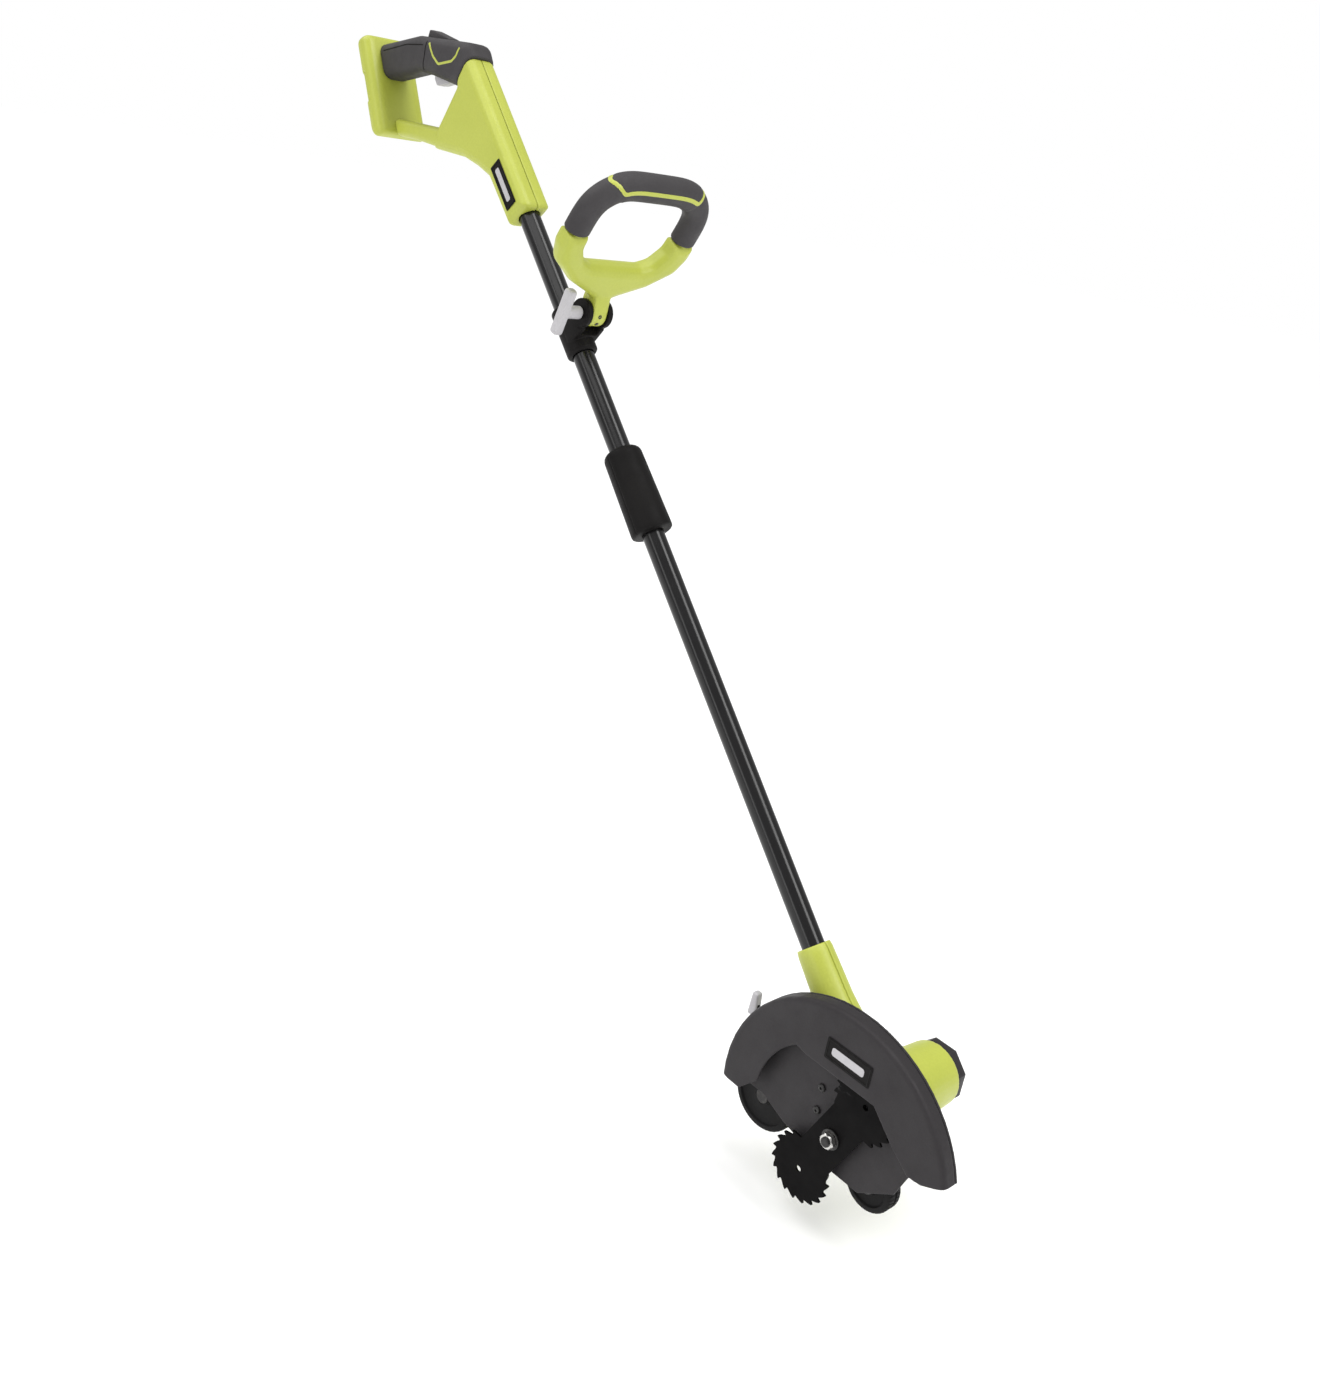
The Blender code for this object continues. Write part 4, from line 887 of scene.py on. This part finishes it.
def screw_pieces():
    """Pan-head screws along y with a six-lobed recess, in place of the plain ones."""
    heads = {f"handle_screw_{n}": 1 for n in (1, 2, 3)}          # 1: head on the left, -1: right
    heads.update({f"plate_screw_{n}": -1 for n in (1, 2, 3)})
    heads.update({f"guard_screw_{n}": 1 for n in (1, 2)})
    head_height = 2.2
    for name, side in heads.items():
        low, high = node_box(name)
        place = axle((low + high) / 2)
        head_r = (high.x - low.x) / 2
        shank = head_r * 0.42
        top, tip = (high.y, low.y) if side > 0 else (low.y, high.y)
        seat = top - side * head_height
        profile = [(0, tip), (shank * 0.4, tip), (shank, tip + side * 2.0), (shank, seat),
                   (head_r, seat), (head_r, seat + side * 0.7), (head_r * 0.96, seat + side * 1.2),
                   (head_r * 0.82, seat + side * 1.75), (head_r * 0.55, top - side * 0.08), (0, top)]
        piece = turned(f"{name}_pan", profile, place, 48)
        recess = star(head_r * 0.42, top - side * 1.3, top + side, place)
        settle(cut(piece, recess), "steel", BODY_OF[name], name)


def stem_screws():
    """Two small sunk screws on the front of the loop's stem, at its pivot."""
    surface = surface_of("loop_base")
    pivot = JOINT_AT["loop_tilt"]
    head_r = 2.4
    for index, drop in enumerate((1.5, 10.5), 1):
        start = TO_ROW @ Vector((pivot.x + 60, 0, pivot.z - drop))
        spot, normal, _, _ = surface.ray_cast(start, Vector((-1, 0, 0)))
        place = axes(from_foot(spot), LEFT, normal.cross(LEFT).normalized())
        side = 1 if place.col[2].to_3d().dot(normal) > 0 else -1
        profile = [(0, -1.2 * side), (head_r, -1.2 * side), (head_r, 0.15 * side),
                   (head_r - 0.3, 0.45 * side), (0, 0.6 * side)]
        head = turned(f"stem_screw_{index}", profile, place, 40)
        recess = star(head_r / 2, -0.6 * side, 1.2 * side, place)
        settle(cut(head, recess), "steel", "loop_handle", paint="dark_steel")


# ---------------------------------------------------------------- wheels
WHEEL_BORE = 4.4
TREAD_GROOVES = 40
TREAD_DEPTH = 1.1


def wheel_profile(radius, right, left):
    """Hub, dished web, rim and a tread split by a groove, round from the right face to the left."""
    rim = radius - 7
    near = [(WHEEL_BORE, right), (8.6, right), (9.2, right + 0.5), (9.6, right + 2.2),
            (10.4, right + 2.8), (rim - 1.2, right + 2.8), (rim - 0.4, right + 2.2),
            (rim, right + 0.6), (rim + 0.6, right), (radius - 3, right), (radius - 1.4, right + 0.6),
            (radius - 0.5, right + 1.8), (radius, right + 3.4), (radius, right + 7.6),
            (radius - 1.2, right + 8.1)]
    far = [(radius - 1.2, left - 8.1), (radius, left - 7.6), (radius, left - 3.4),
           (radius - 0.5, left - 1.8), (radius - 1.4, left - 0.6), (radius - 3, left),
           (rim + 0.6, left), (rim, left - 0.6), (rim - 0.4, left - 1.6), (10.4, left - 2.0),
           (9.4, left - 0.5), (8.8, left), (WHEEL_BORE, left)]
    return near + far


def wheel_pieces():
    """The two wheels, their treads crossed by grooves."""
    for name in ("front_wheel", "rear_wheel"):
        low, high = node_box(name)
        radius = (high.z - low.z) / 2 - 0.1

        def tread(angle, reach, edge=radius - 0.6):
            """Cross grooves in the tread."""
            if reach < edge:
                return reach
            wave = 0.5 - 0.5 * math.cos(angle * TREAD_GROOVES)
            return reach - TREAD_DEPTH * smooth_step((wave - 0.72) / 0.2)

        wheel = turned(f"{name}_treaded", wheel_profile(radius, low.y, high.y),
                       axle(JOINT_AT[f"{name}_spin"]), 240, ring=True, shape=tread)
        settle(wheel, "wheel_rubber", BODY_OF[name], name, sharp=40.0)


# ---------------------------------------------------------------- motor end cap
CAP_R = 36.0
CAP_ROUND_R = 29.0                             # the cap is round inside this and octagonal beyond
CAP_SLOTS = 12


def end_cap_piece():
    """Octagonal cap with a round of air slots."""
    low, high = node_box("motor_end_cap")
    place = axle((low + high) / 2)
    flats = (high.x - low.x) / 2 * math.cos(math.pi / 8)

    def octagonal(angle, radius):
        """The turned radius, no more than eight flats allow."""
        if radius <= CAP_ROUND_R:
            return radius
        sector = (angle + math.pi / 8) % (math.pi / 4) - math.pi / 8
        return min(radius, flats * radius / CAP_R / math.cos(sector))

    base, top = low.y, high.y
    profile = [(28, base), (CAP_R - 0.5, base), (CAP_R, base + 1.2), (CAP_R, top - 5.2),
               (CAP_R - 0.5, top - 3.6), (CAP_R - 1.9, top - 1.8), (CAP_R - 3.9, top - 0.6),
               (CAP_R - 6.5, top), (12, top), (11.2, top - 0.7), (10.2, top - 0.9), (0, top - 0.9),
               (0, top - 3), (28, top - 3)]
    cap = turned("motor_end_cap_vented", profile, place, 192, ring=True, shape=octagonal)
    outline = rounded_box((14.5, -1.5), (26.5, 1.5), 1.4)
    rings = [[(x, y, level) for x, y in outline] for level in (top - 6, top + 2)]
    for index in range(CAP_SLOTS):
        turn = Matrix.Rotation(2 * math.pi * (index + 0.5) / CAP_SLOTS, 4, "Z")
        cut(cap, loft("slot", rings, place @ turn))
    settle(cap, "grey_overmould", "frame", "motor_end_cap")


# ---------------------------------------------------------------- stage (m)
CAMERA_AT = (1.6503, -1.0584, -0.0275)
CAMERA_TURN = (70.497, -9.713, 47.779)         # degrees about x, y and z
LENS = 38.18
SENSOR = 36.0
SHIFT_UP = -0.0572

SHAFT_MIDDLE = 440.0 * UP_SHAFT                # mm: what the strip lights aim at
STRIP_LENGTH = 3.6
STRIP_DISTANCE = 2.6
KEY_FROM = (-0.09, -0.97, 0.23)
FILL_FROM = (0.535, 0.139, 0.866)
SKY_FROM = (-0.35, -0.45, 1.0)
AMBIENT = 0.57                                 # how strongly the white surroundings light things
FLOOR_DROP = 0.03                              # from the lowest point down to the floor
FLOOR_TONES = ((0.99, 0.99, 0.99), (0.98, 0.98, 0.98))


def camera():
    """Camera low at the front right, rolled a little."""
    lens = bpy.data.cameras.new("camera")
    lens.sensor_fit = "HORIZONTAL"
    lens.sensor_width = SENSOR
    lens.lens = LENS
    lens.shift_y = SHIFT_UP
    lens.clip_end = 60.0
    view = bpy.data.objects.new("camera", lens)
    view.location = CAMERA_AT
    view.rotation_euler = [math.radians(angle) for angle in CAMERA_TURN]
    bpy.context.scene.collection.objects.link(view)
    bpy.context.scene.camera = view


def strip_light(name, heading, width, power):
    """Long soft box parallel to the shaft, seen from the shaft's middle along a heading."""
    light = bpy.data.lights.new(name, "AREA")
    light.shape = "RECTANGLE"
    light.size = width
    light.size_y = STRIP_LENGTH
    light.energy = power
    lamp = bpy.data.objects.new(name, light)
    toward = Vector(heading).normalized()
    back = (toward - toward.dot(UP_SHAFT) * UP_SHAFT).normalized()
    turn = Matrix((UP_SHAFT.cross(back), UP_SHAFT, back)).transposed().to_4x4()
    turn.translation = TO_ROW @ SHAFT_MIDDLE + STRIP_DISTANCE * toward
    lamp.matrix_world = turn
    lamp.visible_camera = False
    bpy.context.scene.collection.objects.link(lamp)


def sky_light(heading, strength):
    """Very soft daylight from a heading."""
    light = bpy.data.lights.new("sky", "SUN")
    light.energy = strength
    light.angle = math.radians(70.0)
    lamp = bpy.data.objects.new("sky", light)
    lamp.rotation_euler = Vector(heading).to_track_quat("Z", "Y").to_euler()
    bpy.context.scene.collection.objects.link(lamp)


def white_surroundings():
    """World that looks pure white and lights the scene more weakly."""
    world = bpy.data.worlds.new("studio")
    world.use_nodes = True
    tree = world.node_tree
    back = tree.nodes["Background"]
    back.inputs["Color"].default_value = (1.0, 1.0, 1.0, 1.0)
    seen = tree.nodes.new("ShaderNodeLightPath").outputs["Is Camera Ray"]
    tree.links.new(ranged(tree, seen, AMBIENT, 1.0, 0.0, 1.0), back.inputs["Strength"])
    bpy.context.scene.world = world
    bpy.context.scene.view_settings.view_transform = "Standard"


def white_floor():
    """Wide pale disc below the object."""
    data = bmesh.new()
    middle = Matrix.Translation((0.4, 0.0, CAD_BOX[0].z - FLOOR_DROP))
    bmesh.ops.create_circle(data, cap_ends=True, radius=16.0, segments=96, matrix=middle)
    mesh = bpy.data.meshes.new("floor")
    data.to_mesh(mesh)
    data.free()
    floor = bpy.data.objects.new("floor", mesh)
    bpy.context.scene.collection.objects.link(floor)
    paint, shader, tree, where = shader_net("floor")
    tone = mixed(tree, ranged(tree, noise(tree, where, 3.0), 0.0, 1.0), *FLOOR_TONES)
    tree.links.new(tone, shader.inputs["Base Color"])
    shader.inputs["Roughness"].default_value = 0.7
    mesh.materials.append(paint)


def studio():
    white_surroundings()
    strip_light("key", KEY_FROM, width=0.6, power=13.0)
    strip_light("fill", FILL_FROM, width=0.9, power=54.0)
    sky_light(SKY_FROM, strength=1.9)
    white_floor()


camera()
studio()
paint_nodes()
soften_moulded_nodes()
shaft_pieces()
loop_grip_pieces()
grip_details()
label_pieces()
cutter_pieces()
screw_pieces()
stem_screws()
wheel_pieces()
end_cap_piece()
